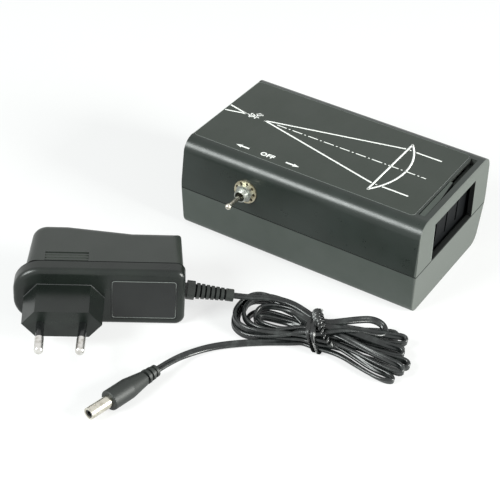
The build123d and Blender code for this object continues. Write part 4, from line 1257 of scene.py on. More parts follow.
HANK = (
    Turn(
        (-77.0, 7.6),
        ((44.5, -73.4, 8.7), (49.6, -66.8, 8.6), (54.4, -60.6, 8.2), (59.8, -58.9, 7.2), (63.2, -62.2, 5.8),
         (61.4, -66.4, 6.4), (54.5, -71.6, 8.2), (46.5, -79.6, 9.2)),
        (-87.2, 7.6),
        LeftLoop((-96.2, 2.1), (-71.6, 4.6), -2.6, 3.0),
        (20, 30, 40, 60, 70, 50, 40, 30),
    ),
    Turn(
        (-77.0, 3.8),
        ((46.0, -72.6, 4.6), (54.5, -65.0, 4.6), (60.5, -60.0, 4.4), (66.0, -56.6, 4.2), (67.6, -59.6, 2.4),
         (61.0, -61.4, 2.2), (54.0, -66.4, 2.2), (46.0, -75.4, 2.6)),
        (-83.8, 3.8),
        LeftLoop((-91.8, 5.0), (-71.0, 7.8), 0.8, 7.0),
    ),
    Turn(
        (-77.0, 5.7),
        ((46.5, -74.4, 7.4), (57.0, -67.4, 7.0), (65.0, -62.4, 6.2), (71.2, -58.2, 5.4), (72.6, -61.2, 3.6),
         (65.0, -64.4, 3.6), (56.5, -70.0, 4.4), (46.5, -77.8, 5.4)),
        (-83.8, 7.6),
        LeftLoop((-90.4, 3.6), (-76.4, 3.0), 3.4, 2.4),
    ),
    Turn(
        (-77.0, 1.9),
        ((46.5, -76.0, 3.4), (57.5, -71.0, 4.2), (66.5, -67.8, 4.2), (72.6, -63.9, 4.0), (74.0, -67.0, 2.2),
         (66.5, -69.0, 2.0), (57.0, -73.0, 2.0), (46.5, -79.6, 2.0)),
        (-83.8, 1.9),
        LeftLoop((-87.8, 2.0), (-75.6, 7.4), 6.2, 5.4),
    ),
    Turn(
        (-80.4, 7.6),
        ((46.5, -77.0, 8.4), (57.5, -72.8, 8.0), (67.0, -70.2, 7.0), (74.2, -67.4, 5.8), (75.6, -70.8, 4.0),
         (67.0, -73.0, 4.6), (57.0, -75.8, 5.4), (46.5, -80.8, 6.2)),
        (-83.8, 5.7),
        LeftLoop((-88.6, 5.2), (-79.4, 3.2), 8.2, 4.0),
    ),
    Turn(
        (-80.4, 3.8),
        ((46.5, -79.2, 4.4), (58.0, -76.2, 4.2), (70.0, -74.4, 4.2), (79.0, -71.0, 4.0), (80.6, -74.6, 2.2),
         (70.0, -76.4, 2.0), (57.5, -78.4, 2.0), (46.5, -82.2, 2.4)),
        (-87.2, 3.8),
        LeftLoop((-94.3, 2.1), (-71.6, 6.4), -0.8, 4.2),
    ),
    Turn(
        (-80.4, 5.7),
        ((46.5, -80.6, 7.6), (58.0, -79.0, 7.4), (70.0, -78.6, 6.6), (79.4, -77.4, 5.4), (80.6, -81.2, 3.6),
         (70.0, -81.8, 4.6), (57.5, -81.4, 5.2), (46.5, -83.8, 5.6)),
        (-87.2, 5.7),
        LeftLoop((-95.4, 5.5), (-73.6, 9.4), -2.2, 6.8),
    ),
    Turn(
        (-80.4, 1.9),
        ((46.5, -82.2, 4.0), (57.0, -81.8, 3.4), (67.0, -83.0, 2.6), (76.2, -82.6, 2.2), (79.0, -85.2, 2.0),
         (74.0, -87.4, 2.0), (63.0, -85.8, 2.0), (50.0, -84.4, 2.0)),
        (-87.2, 1.9),
        None,
    ),
)


@dataclass
class Lead:
    """The twin-core lead from the supply to the barrel plug, folded into a tied hank.

    Attributes:
        exit_point: tip of the strain relief, in millimetres.
        start: control points from the relief to the tie.
        start_tilts: tilts at those points, in degrees.
        end: control points from the tie to the plug.
        end_tilts: tilts at those points, in degrees.
        loop_tilts: tilts round a left-hand loop, in degrees.
        tie_tilt: tilt in the tie, in degrees.
        width: width over both cores in metres.
        core: diameter of one core in metres.
        length: the lead's real length in metres.
        tie_from: where the strands enter the tie, in millimetres.
        tie_to: where they leave it.
        throat: x where the sides of a left-hand loop come together, in millimetres.
        bunch: x where the strands start to bunch, are bunched, start to part and have parted,
            in millimetres.
        shift: how far the bunch lies towards the far side, in millimetres.
        bottom: height of the lowest strands' middle, in millimetres.
        swell: how much farther from the lowest strands the others lie in the bunch.
        points: control points laid so far, in metres.
        tilts: their tilts, in radians.
    """

    exit_point: Point = (-4.534, -84.999, 12.082)
    start: tuple[Point, ...] = (
        (-4.534, -84.999, 12.082),
        (1.246, -81.166, 11.132),
        (6.6, -76.7, 10.8),
        (12.8, -73.9, 10.8),
        (20.0, -72.9, 10.7),
        (26.6, -73.7, 10.2),
    )
    start_tilts: tuple[float, ...] = (0, 0, 5, 10, 10, 5)
    end: tuple[Point, ...] = (
        (28.6, -87.4, 1.8),
        (20.6, -92.8, 1.9),
        (10.4, -100.9, 1.9),
        (0.9, -110.6, 2.0),
        (-5.1, -121.8, 2.6),
        (-7.199, -133.44, 4.8),
        (-8.698, -141.30, 4.8),
    )
    end_tilts: tuple[float, ...] = (-15, -28, -30, -30, -20, 0, 0)
    loop_tilts: tuple[float, ...] = (50, 85, 90, 90, 90, 90, 80, 70, 40)
    tie_tilt: float = 10
    width: float = 0.0034
    core: float = 0.0018
    length: float = 1.4
    tie_from: float = 32.5
    tie_to: float = 38.5
    throat: float = 25.5
    bunch: Quad = (10.0, 30.0, 42.0, 64.0)
    shift: float = 2.6
    bottom: float = 1.9
    swell: float = 0.25
    points: list[Point] = field(default_factory=list)
    tilts: list[float] = field(default_factory=list)

    def _add(self, places: Sequence[Point], tilts: Sequence[float]) -> None:
        """Adds control points, given in millimetres, with their tilts in degrees."""
        self.points += metres(places)
        self.tilts += [math.radians(tilt) for tilt in tilts]

    def _cross(self, start: float, end: float, place: Pair) -> None:
        """Adds a straight run through the tie.

        Args:
            start: x where it starts, in millimetres.
            end: x where it ends.
            place: its (y, z).
        """
        self._add(self._gathered([(start, *place), (end, *place)]), (self.tie_tilt, self.tie_tilt))

    def _left(self, loop: LeftLoop, back: Pair, out: Pair) -> None:
        """Adds a left-hand loop between two crossings of the tie.

        Its sides run along x; each of its points has its distance from the loop's
        end, its share of the way from the near to the far side, and a height.

        Args:
            loop: the loop.
            back: (y, z) of the crossing that it comes from.
            out: (y, z) of the crossing that it goes to.
        """
        (near, near_z), (far, far_z) = loop.near, loop.far
        span, end_x, end_z = far - near, loop.end_x, loop.end_z
        near_in = 0.5 * (near + back[0])
        far_in = 0.5 * (far + out[0])
        places = [
            (self.throat, near_in, 0.5 * (near_z + back[1])),
            (end_x + 14.0, near, near_z),
            (end_x + 5.4, near + 0.06 * span, near_z),
            (end_x + 1.0, near + 0.27 * span, 0.5 * (near_z + end_z)),
            (end_x, near + 0.52 * span, end_z),
            (end_x + 1.0, near + 0.78 * span, 0.5 * (far_z + end_z)),
            (end_x + 5.0, far - 0.03 * span, far_z),
            (end_x + 13.0, far + 0.02 * span, far_z),
            (self.throat, far_in, 0.5 * (far_z + out[1])),
        ]
        self._add(self._gathered(places), self.loop_tilts)

    def _gathered(self, places: Sequence[Point]) -> list[Point]:
        """Draws the hank's strands up towards the tie, where they bunch.

        Args:
            places: control points, in millimetres.

        Returns:
            The points where they end up.
        """
        start, full, loose, end = self.bunch
        moved = []
        for x, y, z in places:
            share = min(1.0, max(0.0, min((x - start) / (full - start), (end - x) / (end - loose))))
            share *= share * (3.0 - 2.0 * share)
            rise = self.swell * max(z - self.bottom, 0.0)
            moved.append((x, y + self.shift * share, z + rise * share))
        return moved

    def route(self) -> None:
        """Lays the control points in order from the relief to the plug."""
        self._add(self.start, self.start_tilts)
        for number, turn in enumerate(HANK):
            self._cross(self.tie_from, self.tie_to, turn.out)
            self._add(self._gathered(turn.right), turn.tilts)
            self._cross(self.tie_to, self.tie_from, turn.back)
            if turn.left:
                self._left(turn.left, turn.back, HANK[number + 1].out)
        self._add(self.end, self.end_tilts)

    def tube(self) -> Tree:
        """Makes the tree that sweeps the two moulded-together cores along the lead.

        Returns:
            The tree.
        """
        t = Tree("twin_core")
        core, width = t.size("Core", self.core), t.size("Width", self.width)
        ring, across, side = t.outline(22)
        x = across * width * 0.5
        off = (abs(x) - (width - core) * 0.5) / (core * 0.5)
        rise = t.math("SQRT", t.math("MAXIMUM", 1.0 - off * off, 0.0)) * core * 0.5
        y = rise * t.math("SIGN", side) * (abs(side) > 0.001)
        return t.end(t.smooth(t.swept(t.geometry, t.reshaped(ring, t.vector(x, y)))))

    def build(self, sheath: bpy.types.Material, tie: bpy.types.Object) -> bpy.types.Object:
        """Args:
            sheath: its material.
            tie: the twist tie on it; not used.

        Returns:
            The lead's tube.
        """
        self.route()
        curve = nurbs("lead_route", [self.points], [self.tilts])
        path = line_points("lead", curve)
        length = sum((Vector(b) - Vector(a)).length for a, b in zip(path, path[1:]))
        log.info("lead: %d points, %.3f m", len(path), length)
        values = {"Material": sheath, "Core": self.core, "Width": self.width}
        piece = finished(grow("supply_cord", self.tube(), curve, values))
        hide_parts("supply_lead", "plug_lead", "cord_hank")
        return piece


@dataclass
class TwistTie:
    """The wire twist tie round the hank: two wraps, the twisted ends over the top and their tips.

    Attributes:
        strip: width of the strip in metres.
        wire: thickness at its wire in metres.
        wraps: x of each wrap at the top, in millimetres.
        lean: how far a wrap moves along +X for each millimetre down.
        slant: how far it moves along +X for each millimetre towards the near side.
        low: (y, z) of the wraps' low far corner.
        high: (y, z) of their high near corner.
        knot: axis of the tight twist over the hank, in millimetres.
        tail: axis of the looser twist that goes on from it.
        tips: control points of the two free tips.
    """

    strip: float = 0.0024
    wire: float = 0.0011
    wraps: Pair = (31.6, 33.9)
    lean: float = 0.42
    slant: float = 0.24
    low: Pair = (-71.9, 0.75)
    high: Pair = (-87.2, 11.2)
    knot: tuple[Point, ...] = (
        (33.2, -73.4, 11.6), (34.6, -75.8, 12.8), (36.6, -78.6, 12.8), (38.8, -80.6, 11.8),
    )
    tail: tuple[Point, ...] = (
        (38.6, -80.4, 11.8), (40.8, -82.2, 10.6), (44.0, -83.8, 9.0), (48.0, -85.2, 7.4),
    )
    tips: tuple[tuple[Point, ...], ...] = (
        ((33.6, -74.2, 12.0), (34.0, -73.2, 13.2), (34.8, -73.4, 14.4), (35.4, -73.8, 14.8)),
        ((33.2, -74.0, 11.4), (31.8, -73.2, 12.0), (31.0, -72.2, 11.2), (30.8, -71.4, 10.2)),
    )

    def _ribbon(self) -> Tree:
        """Makes the tree that sweeps the strip, with a ridge over its wire and a given twist.

        Returns:
            The tree.
        """
        t = Tree("twist_strip")
        strip, wire, turns = t.size("Strip", self.strip), t.size("Wire", self.wire), t.size("Turns")
        ring, across, side = t.outline(20)
        ridge = t.math("EXPONENT", across * across * -10.0)
        section = t.reshaped(ring, t.vector(across * strip * 0.5, side * wire * (0.2 + 0.3 * ridge)))
        turned = t.out(t.node("GeometryNodeSplineParameter"), "Factor") * turns * math.tau
        tilted = t.node("GeometryNodeSetCurveTilt", {}, {"Curve": t.geometry, "Tilt": turned})
        return t.end(t.smooth(t.swept(t.out(tilted), section)))

    def _wrap(self, x: float) -> list[Point]:
        """Lays control points once round the hank, ending over the start.

        Args:
            x: where the wrap crosses the top, in millimetres.

        Returns:
            The points, in millimetres.
        """
        far, floor = self.low
        near, top = self.high
        middle = (far + near) / 2
        corners = [
            (middle, top + 0.2), (far - 3.4, top), (far - 0.4, top - 1.0), (far, top - 3.4),
            (far, floor + 3.0), (far, floor + 0.2), (far - 3.0, floor), (middle, floor),
            (near + 3.0, floor), (near + 0.2, floor + 0.2), (near, floor + 3.0), (near + 0.2, top - 3.4),
            (near + 1.4, top - 0.8), (near + 4.0, top + 0.5), (middle, top + 0.7),
        ]
        return [(x + self.lean * (top - z) + self.slant * (far - y), y, z) for y, z in corners]

    def _wound(self, axis: Sequence[Point], radius: float, turns: float) -> list[list[Point]]:
        """Lays control points of two strips wound round a bent axis, eight to a turn.

        Args:
            axis: points of the axis, in millimetres.
            radius: distance from the axis.
            turns: turns from end to end.

        Returns:
            The points of each strip, in millimetres.
        """
        strips = []
        steps = int(turns * 8)
        for phase in (0.0, 0.5):
            places = []
            for step in range(steps + 1):
                along = step / steps * (len(axis) - 1)
                index = min(int(along), len(axis) - 2)
                a, b = Vector(axis[index]), Vector(axis[index + 1])
                ahead = (b - a).normalized()
                side = ahead.cross(Vector((0, 0, 1))).normalized()
                angle = math.tau * (phase + turns * step / steps)
                middle = a.lerp(b, along - index)
                off = side * math.cos(angle) + ahead.cross(side) * math.sin(angle)
                places.append(tuple(middle + off * radius))
            strips.append(places)
        return strips

    def build(self, sheath: bpy.types.Material) -> bpy.types.Object:
        """Builds the tie as one piece.

        Args:
            sheath: its material.

        Returns:
            The tie.
        """
        ribbon = self._ribbon()
        wraps = [self._wrap(x) for x in self.wraps]
        parts = []
        for name, places, turns, strip, wire in (
            ("tie_wraps", wraps, 0.0, self.strip, self.wire),
            ("tie_knot", self._wound(self.knot, 1.3, 3.0), 3.0, 0.0030, 0.0020),
            ("tie_tail", self._wound(self.tail, 0.8, 2.5), 2.5, 0.0022, 0.0014),
            ("tie_tips", self.tips, 0.4, 0.0018, 0.0009),
        ):
            curve = nurbs(name, [metres(run) for run in places])
            values = {"Material": sheath, "Strip": strip, "Wire": wire, "Turns": turns}
            parts.append(grow(name, ribbon, curve, values))
        piece = finished(joined("twist_tie", parts))
        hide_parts("hank_tie")
        return piece


# ---------------------------------------------------------------- the lamp's case
@dataclass
class Case:
    """Upper and lower shell with their joint, window and slot, in millimetres.

    Attributes:
        parting: height of the joint between the shells.
        window: half width, lowest and highest height of the parallel-light window.
        slot: lowest x, highest x and half length of the diaphragm's slot.
        top: height of the lid.
        rims: x of the end face, y of the side faces and height of the rim, where edges get a painted
            highlight.
        no_rim: a height above the case, for a shell with no painted highlight along its top edges.
        end_from: x past which the end face has painted light, a little paler.
        dark: colour of the painted shade inside the window.
    """

    parting: float = 23.15
    window: Point = (22.4, 23.3, 43.8)
    slot: Point = (56.75, 60.25, 28.95)
    top: float = 50.5
    rims: Point = (63.9, 38.3, 50.3)
    no_rim: float = 80.0
    end_from: float = 63.2
    dark: Colour = (0.030, 0.032, 0.031)

    def _dress_shells(self, nodes: Nodes) -> None:
        """Gives the two shells their plastic, with painted shade in the joint, the window and the slot,
        painted light on the end face and painted highlights along the edges and round the window.

        Args:
            nodes: the frame's solids by name.
        """
        half, low, high = self.window
        near, far, reach = self.slot
        face, side, _ = self.rims
        under, over = self.parting - 0.25, self.parting + 0.2
        # Painted shade: a dark band along the joint between the shells, with little sheen.
        joint = Patch((None, None, under), (None, None, over), (0.022, 0.025, 0.023), metal=0.8)
        # Painted shade on the window's inner faces and on its sill.
        opening_shade = Patch((50.0, -half, low), (face, half, high), self.dark, inward=True)
        sill_shade = Patch((55.0, -half, 22.4), (face, half, 26.0), self.dark, inward=True)
        # Painted shade on the slot's inner walls, matt and with less sheen.
        slot = Patch((near, -reach, 40.0), (far, reach, self.top - 0.25), (0.062, 0.068, 0.062), metal=0.6)
        # Painted light: the end faces of both shells paler, as where the light from the right falls.
        end = Patch((self.end_from, None, None), (None, None, None), (0.067, 0.076, 0.068), 0.5, 0.0, 0.5)
        # Painted highlight: pale strips along the window's near and top rims on the end face.
        edge = {"colour": (0.15, 0.165, 0.155), "roughness": 0.45, "metal": 0.0, "soft": 0.12}
        frame = (
            Patch((63.4, -half - 0.35, low), (None, -half - 0.05, high + 0.4), **edge),
            Patch((63.4, -half - 0.35, high + 0.1), (None, half + 0.3, high + 0.4), **edge),
        )
        upper = MouldedPlastic(
            (0.012, 0.017, 0.014), (0.015, 0.021, 0.018), 0.31, depth=0.00002, gloss=0.42, dust=0.2,
            patches=(end, *frame, joint, opening_shade, slot), rims=self.rims,
        )
        put(nodes, upper, "case_charcoal", "top_shell")
        lower = MouldedPlastic(
            (0.036, 0.046, 0.039), (0.043, 0.053, 0.046), 0.5, dust=0.25,
            patches=(end, joint, sill_shade), rims=(face, side, self.no_rim),
        )
        put(nodes, lower, "case_charcoal_lower", "bottom_shell")

    def dress(self, nodes: Nodes) -> None:
        """Dresses the case, its screws and the slit diaphragm.

        Args:
            nodes: the frame's solids by name.
        """
        self._dress_shells(nodes)
        zinc = PlatedMetal((0.6, 0.61, 0.62), (0.45, 0.46, 0.44), 0.3)
        screws = ("lens_clip_screws", "carrier_screws", "board_screws")
        put(nodes, zinc, "zinc_plate", "case_screws", "lens_clips", *screws)
        # Painted shade on the diaphragm: darker low down in the slot, and a near-black wedge where the open
        # slot lies in shade.
        deep = Patch((None, None, None), (None, None, self.top - 6.0), (0.012, 0.013, 0.014), 0.7, soft=1.0)
        shade_wedge = Patch((0.0, None, self.top - 1.2), (None, 0.0, None), origin=(60.1, -13.0), yaw=95.4)
        blade = MouldedPlastic(
            (0.050, 0.060, 0.053), (0.058, 0.068, 0.061), 0.45, gloss=0.2, dust=0.1, patches=(deep, shade_wedge),
        )
        put(nodes, blade, "diaphragm_black", "slit_diaphragm")


ARROW = ((0, 0), (3.3, -1.25), (2.9, -0.5), (7.2, -0.5), (7.2, 0.5), (2.9, 0.5), (3.3, 1.25))


@dataclass
class SheetPrint:
    """The ray drawing, OFF, the two arrows and the border on the lid's sheet, in millimetres.

    Attributes:
        apex: where the rays start, on the drawing's axis.
        lens: x of the lens's flat face, its half height and the bulge of its curved face.
        drop: how far the lens and the nearer ray lie towards the near side.
        ray_y: half distance between the parallel rays.
        ray_end: x where the drawing ends.
        weight: width of the main lines.
        fine: width of the fine lines.
        dash: pitch, length of a dash, and length of a dot on the axis.
        axis_run: x where the broken axis starts and how many pitches it has.
        arrows: x of the tips of the two arrows.
        legend: centre of OFF; its y is the arrows' too.
        letters: size of the letters and how much bolder they are drawn.
        border: how far the border lies inside the sheet's edge and below its top, its corner radius
            and its line's radius.
        ink: thickness of the ink.
        sink: how deep the ink goes into the sheet.
    """

    apex: Pair = (-41.0, -0.2)
    lens: Point = (28.4, 23.6, 7.9)
    drop: float = 0.4
    ray_y: float = 17.9
    ray_end: float = 46.5
    weight: float = 0.95
    fine: float = 0.58
    dash: Point = (8.7, 5.4, 0.8)
    axis_run: Pair = (-34.0, 8.02)
    arrows: Pair = (-41.0, -6.4)
    legend: Pair = (-23.7, -26.9)
    letters: Pair = (3.9, 0.16)
    border: Quad = (0.1, 0.02, 2.2, 0.11)
    ink: float = 0.04
    sink: float = 0.01

    def _lines(self, z: float) -> tuple[list[list[Point]], ...]:
        """Lays the drawing's straight lines.

        Args:
            z: height of the ink's middle in millimetres.

        Returns:
            The main lines and the fine ones, in metres.
        """
        flat, half, bulge = self.lens
        drop, upper, lower = self.drop, self.ray_y, -self.ray_y - self.drop
        radius = (half * half + bulge * bulge) / (2 * bulge)
        spread, steps = math.asin(half / radius), 16
        centre = flat + bulge - radius
        arc = [
            (centre + radius * math.cos(spread * k / steps), radius * math.sin(spread * k / steps) - drop)
            for k in range(-steps, steps + 1)
        ]
        meets = centre + math.sqrt(radius * radius - self.ray_y * self.ray_y)
        axis_y = self.apex[1]
        # The two lines that meet at the source, the divergent rays, the parallel rays and the lens.
        bold = [
            [(-62.3, 2.7), (-51.6, 0.0)], [(-62.3, -2.7), (-51.6, 0.0)],
            [self.apex, (flat - 1.0, upper)], [self.apex, (flat - 1.0, lower)],
            [(meets + 1.0, upper), (self.ray_end, upper)], [(meets + 1.0, lower), (self.ray_end, lower)],
            [(flat, half - drop), (flat, -half - drop)], arc,
        ]
        # Ticks inside the lens, the axis's end, the diode symbol, and its two arrows.
        fine = [
            [(flat + 0.9, upper), (flat + 2.0, upper)], [(flat + 0.9, lower), (flat + 2.0, lower)],
            [(44.3, axis_y), (46.8, axis_y)],
            [(-51.2, 0.2), (-44.6, 0.2)], [(-46.3, 2.1), (-46.3, -1.7)],
            [(-49.6, 2.1), (-49.6, -1.7)], [(-49.6, 2.1), (-46.3, 0.2)], [(-49.6, -1.7), (-46.3, 0.2)],
            [(-47.4, 2.4), (-45.6, 4.4)], [(-45.6, 4.4), (-46.6, 4.1)], [(-45.6, 4.4), (-45.8, 3.4)],
            [(-45.8, 1.7), (-44.0, 3.7)], [(-44.0, 3.7), (-45.0, 3.4)], [(-44.0, 3.7), (-44.2, 2.7)],
        ]
        return tuple([metres((x, y, z) for x, y in run) for run in group] for group in (bold, fine))

    def _dashes(self) -> Tree:
        """Makes the tree that breaks a line into dashes with a dot between each two.

        Returns:
            The tree.
        """
        t = Tree("dash_and_dot")
        pitch, dash, dot = t.size("Pitch", 0.0087), t.size("Dash", 0.0054), t.size("Dot", 0.0008)
        width, thickness = t.size("Width", 0.0005), t.size("Thickness", 0.00004)
        line = {"Curve": t.geometry, "Length": pitch}
        spaced = t.node("GeometryNodeResampleCurve", {"mode": "LENGTH"}, line)
        points = t.node("GeometryNodeCurveToPoints", {"mode": "EVALUATED"}, {"Curve": t.out(spaced)})
        places = t.out(points, "Points")
        merged = t.node("GeometryNodeJoinGeometry")
        for length, shift in ((dash, dash * 0.5), (dot, (pitch + dash) * 0.5)):
            bar = t.node("GeometryNodeMeshCube", {}, {"Size": t.vector(length, width, thickness)})
            moved = t.node("GeometryNodeSetPosition", {}, {"Geometry": places, "Offset": t.vector(shift)})
            part = t.repeated(t.out(moved), t.out(bar, "Mesh"))
            t.tree.links.new(part.socket, merged.inputs[0])
        return t.end(t.out(merged))

    def _letters(self, z: float, ink: bpy.types.Material) -> bpy.types.Object:
        """Makes OFF as a mesh.

        Args:
            z: height of the ink's middle in millimetres.
            ink: its material.

        Returns:
            The letters.
        """
        size, bolder = self.letters
        text = bpy.data.curves.new("legend_off", "FONT")
        text.body = "OFF"
        text.size = size * MM
        text.offset = bolder * MM
        text.space_character = 1.1
        text.extrude = self.ink / 2 * MM
        text.align_x, text.align_y = "CENTER", "CENTER"
        mesh = plain_mesh(link("legend_source", text))
        x, y = self.legend
        mesh.transform(Matrix.Translation((x * MM, y * MM, z * MM)))
        mesh.materials.clear()
        mesh.materials.append(ink)
        return link("legend_off", mesh)

    def _drawing(self, top: float) -> bpy.types.Object:
        """Makes the white drawing, its legend and its arrows.

        Args:
            top: height of the sheet's face in millimetres.

        Returns:
            The drawing as one piece.
        """
        z = top + self.ink / 2 - self.sink
        white = Ink.WHITE.value.material("ink_white")
        bars = bar_tree()
        bold, fine = self._lines(z)
        thick = {"Material": white, "Thickness": self.ink * MM}
        parts = [
            grow("drawing_bold", bars, paths("bold_lines", bold), {**thick, "Width": self.weight * MM}),
            grow("drawing_fine", bars, paths("fine_lines", fine), {**thick, "Width": self.fine * MM}),
        ]
        pitch, dash, dot = self.dash
        start, pitches = self.axis_run
        axis_y = self.apex[1]
        axis = metres([(start, axis_y, z), (start + pitches * pitch, axis_y, z)])
        values = {"Width": self.fine * MM, "Pitch": pitch * MM, "Dash": dash * MM, "Dot": dot * MM}
        parts.append(grow("drawing_axis", self._dashes(), paths("axis_line", [axis]), {**thick, **values}))
        flat, half, _ = self.lens
        tips = metres((flat, side * half - self.drop, z - self.ink / 2) for side in (1, -1))
        values = {"Material": white, "Radius": self.weight / 2 * MM, "Height": self.ink * MM}
        parts.append(grow("drawing_tips", stud_tree(), spots("tips", tips), values))
        y = self.legend[1]
        outlines = [
            [(tip + way * across, y + way * up) for across, up in ARROW]
            for tip, way in zip(self.arrows, (1, -1))
        ]
        arrows = link("arrows", slab("arrows", outlines, z - self.ink / 2, z + self.ink / 2))
        arrows.data.materials.append(white)
        parts += [arrows, self._letters(z, white)]
        return joined("sheet_drawing", parts)

    def build(self) -> None:
        """Builds the white drawing and the faint border."""
        low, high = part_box("printed_sheet")
        top = high.z / MM
        drawing = self._drawing(top)
        inset, below, corner, radius = self.border
        width, depth = (high.x - low.x) / MM - 2 * inset, (high.y - low.y) / MM - 2 * inset
        border = [
            ((low.x + high.x) / 2 + x * MM, y * MM, (top - below) * MM)
            for x, y in rounded(width, depth, corner)
        ]
        # The border: a faint pale line along the sheet's edge.
        values = {"Material": Ink.FAINT.value.material("ink_faint"), "Radius": radius * MM}
        rim = grow("sheet_border", wire_tree(), paths("border", [border], True), values)
        for piece in (drawing, rim):
            finished(piece)

    def dress(self, nodes: Nodes) -> None:
        """Gives the sheet its matt film.

        Args:
            nodes: the frame's solids by name.
        """
        grained = {"grain": 0.0003, "depth": 0.00001, "gloss": 0.3, "dust": 0.15}
        film = MouldedPlastic((0.023, 0.030, 0.024), (0.027, 0.034, 0.028), 0.42, **grained)
        put(nodes, film, "print_film", "printed_sheet")


@dataclass
class Toggle:
    """The toggle switch's metal, with the thread on its bushing, in millimetres.

    Attributes:
        axis: x and z of the bushing.
        nut_face: y of the nut's outer face.
        mouth: y of the bushing's end.
        radius: radius of the bushing.
        pitch: pitch of its thread.
        gaps: number of gaps between the washer's teeth, their ring radius, their radius and the face's y.
    """

    axis: Pair = (-27.7, 34.6)
    nut_face: float = -40.95
    mouth: float = -43.9
    radius: float = 2.98
    pitch: float = 0.62
    gaps: Quad = (9, 4.75, 0.74, -39.06)

    def _thread(self) -> Tree:
        """Makes the tree that winds a ridge round the bushing.

        Returns:
            The tree.
        """
        t = Tree("bushing_thread")
        radius, pitch, turns = t.size("Radius", 0.003), t.size("Pitch", 0.0006), t.size("Turns", 4.0)
        sizes = {"Start Radius": radius, "End Radius": radius, "Height": pitch * turns}
        spiral = t.node("GeometryNodeCurveSpiral", {}, {"Resolution": 40, "Rotations": turns, **sizes})
        ridge = t.swept(t.out(spiral), t.circle(6, pitch * 0.36))
        return t.end(t.smooth(t.moved(ridge, t.spot(), (math.pi / 2, 0.0, 0.0))))

    def build(self, metal: bpy.types.Material) -> None:
        """Builds the bushing's thread and the gaps between the washer's teeth.

        Args:
            metal: material of the thread.
        """
        x, z = self.axis
        turns = (self.nut_face - self.mouth) / self.pitch
        values = {"Material": metal, "Radius": self.radius * MM, "Pitch": self.pitch * MM, "Turns": turns}
        values |= at((x, self.nut_face, z))
        thread = grow("bushing_thread", self._thread(), spots("thread_seed"), values)
        count, ring, size, face = self.gaps
        shadow = MouldedPlastic((0.03, 0.024, 0.014), (0.05, 0.04, 0.022), 0.8, gloss=0.1)
        values = {"Material": shadow.material("gap_shadow"), "Count": int(count), "Ring": ring * MM}
        values |= {"Radius": size * MM, "Flatness": 0.08, "Tip": math.pi / 2, **at((x, face, z))}
        gaps = grow("washer_gaps", ring_tree(), spots("gap_seed"), values)
        for piece in (thread, gaps):
            finished(piece)

    def dress(self, nodes: Nodes) -> bpy.types.Material:
        """Dresses the switch, the pins and the plug's metal.

        Args:
            nodes: the frame's solids by name.

        Returns:
            The bushing's nickel.
        """
        nickel = PlatedMetal((0.74, 0.73, 0.70), (0.50, 0.48, 0.44), 0.26)
        put(nodes, nickel, "bright_nickel", "mains_pins", "socket_nut", "socket_pin")
        worn = PlatedMetal((0.66, 0.64, 0.56), (0.40, 0.37, 0.30), 0.22)
        put(nodes, worn, "worn_nickel", "switch_lever", "plug_sleeve")
        dull = PlatedMetal((0.46, 0.48, 0.45), (0.27, 0.285, 0.25), 0.4)
        bushing = put(nodes, dull, "dull_nickel", "switch_bushing", "switch_nut")
        washer = PlatedMetal((0.62, 0.575, 0.43), (0.38, 0.33, 0.21), 0.38, 0.0003)
        put(nodes, washer, "washer_steel", "lock_washer")
        brass = PlatedMetal((0.72, 0.52, 0.25), (0.5, 0.36, 0.18), 0.3)
        put(nodes, brass, "contact_brass", "switch_terminals", "switch_rocker")
        body = MouldedPlastic((0.16, 0.022, 0.016), (0.2, 0.03, 0.02), 0.4, gloss=0.45)
        put(nodes, body, "switch_phenolic", "switch_body")
        return bushing


# ---------------------------------------------------------------- inside the lamp
@dataclass
class Optics:
    """Lens, its holder and the two diodes on their star boards, in millimetres.

    Attributes:
        height: height of the light path.
        faces: x of the parallel and of the divergent star board's outer face.
        dome: how far past its board a diode's dome starts.
        pads: number of solder pads on a board, their ring radius and their radius.
    """

    height: float = 33.6
    faces: Pair = (-42.4, -47.6)
    dome: float = 1.2
    pads: tuple[int, float, float] = (6, 6.9, 1.15)

    def build(self, solder: bpy.types.Material) -> None:
        """Builds the solder pads of both boards, one piece for each board.

        Args:
            solder: their material.
        """
        tree = ring_tree()
        count, ring, radius = self.pads
        pad = {"Material": solder, "Count": count, "Flatness": 0.28}
        pad |= {"Ring": ring * MM, "Radius": radius * MM}
        for name, x, side in zip(("parallel_pads", "divergent_pads"), self.faces, (1.0, -1.0)):
            values = {**pad, "Turn": side * math.pi / 2, **at((x, 0.0, self.height))}
            finished(grow(name, tree, spots(name + "_seed"), values))

    def dress(self, nodes: Nodes) -> None:
        """Dresses the optics.

        Args:
            nodes: the frame's solids by name.
        """
        put(nodes, ClearAcrylic(), "clear_acrylic", "lens")
        black = MouldedPlastic((0.012, 0.013, 0.013), (0.016, 0.017, 0.017), 0.6, gloss=0.35)
        put(nodes, black, "holder_black", "lens_holder")
        sheet = PlatedMetal((0.76, 0.77, 0.78), (0.64, 0.65, 0.66), 0.38, 0.0006, (1.0, 1.0, 0.08))
        put(nodes, sheet, "bare_aluminium", "lamp_carrier")
        white, shade = (0.82, 0.82, 0.78), (0.78, 0.78, 0.74)
        front, back = self.faces
        for node, board, low, high in (
            ("parallel_led", "parallel_led_board", (front + self.dome, None, None), (None, None, None)),
            ("divergent_led", "divergent_led_board", (None, None, None), (back - self.dome, None, None)),
        ):
            dome = Patch(low, high, (0.86, 0.72, 0.16), 0.12, 0.0)
            resin = MouldedPlastic(white, shade, 0.3, depth=0.000005, patches=(dome,))
            put(nodes, resin, node + "_resin", node)
            mask = MouldedPlastic((0.78, 0.79, 0.78), (0.74, 0.75, 0.74), 0.32, depth=0.000006)
            put(nodes, mask, node + "_board", board)


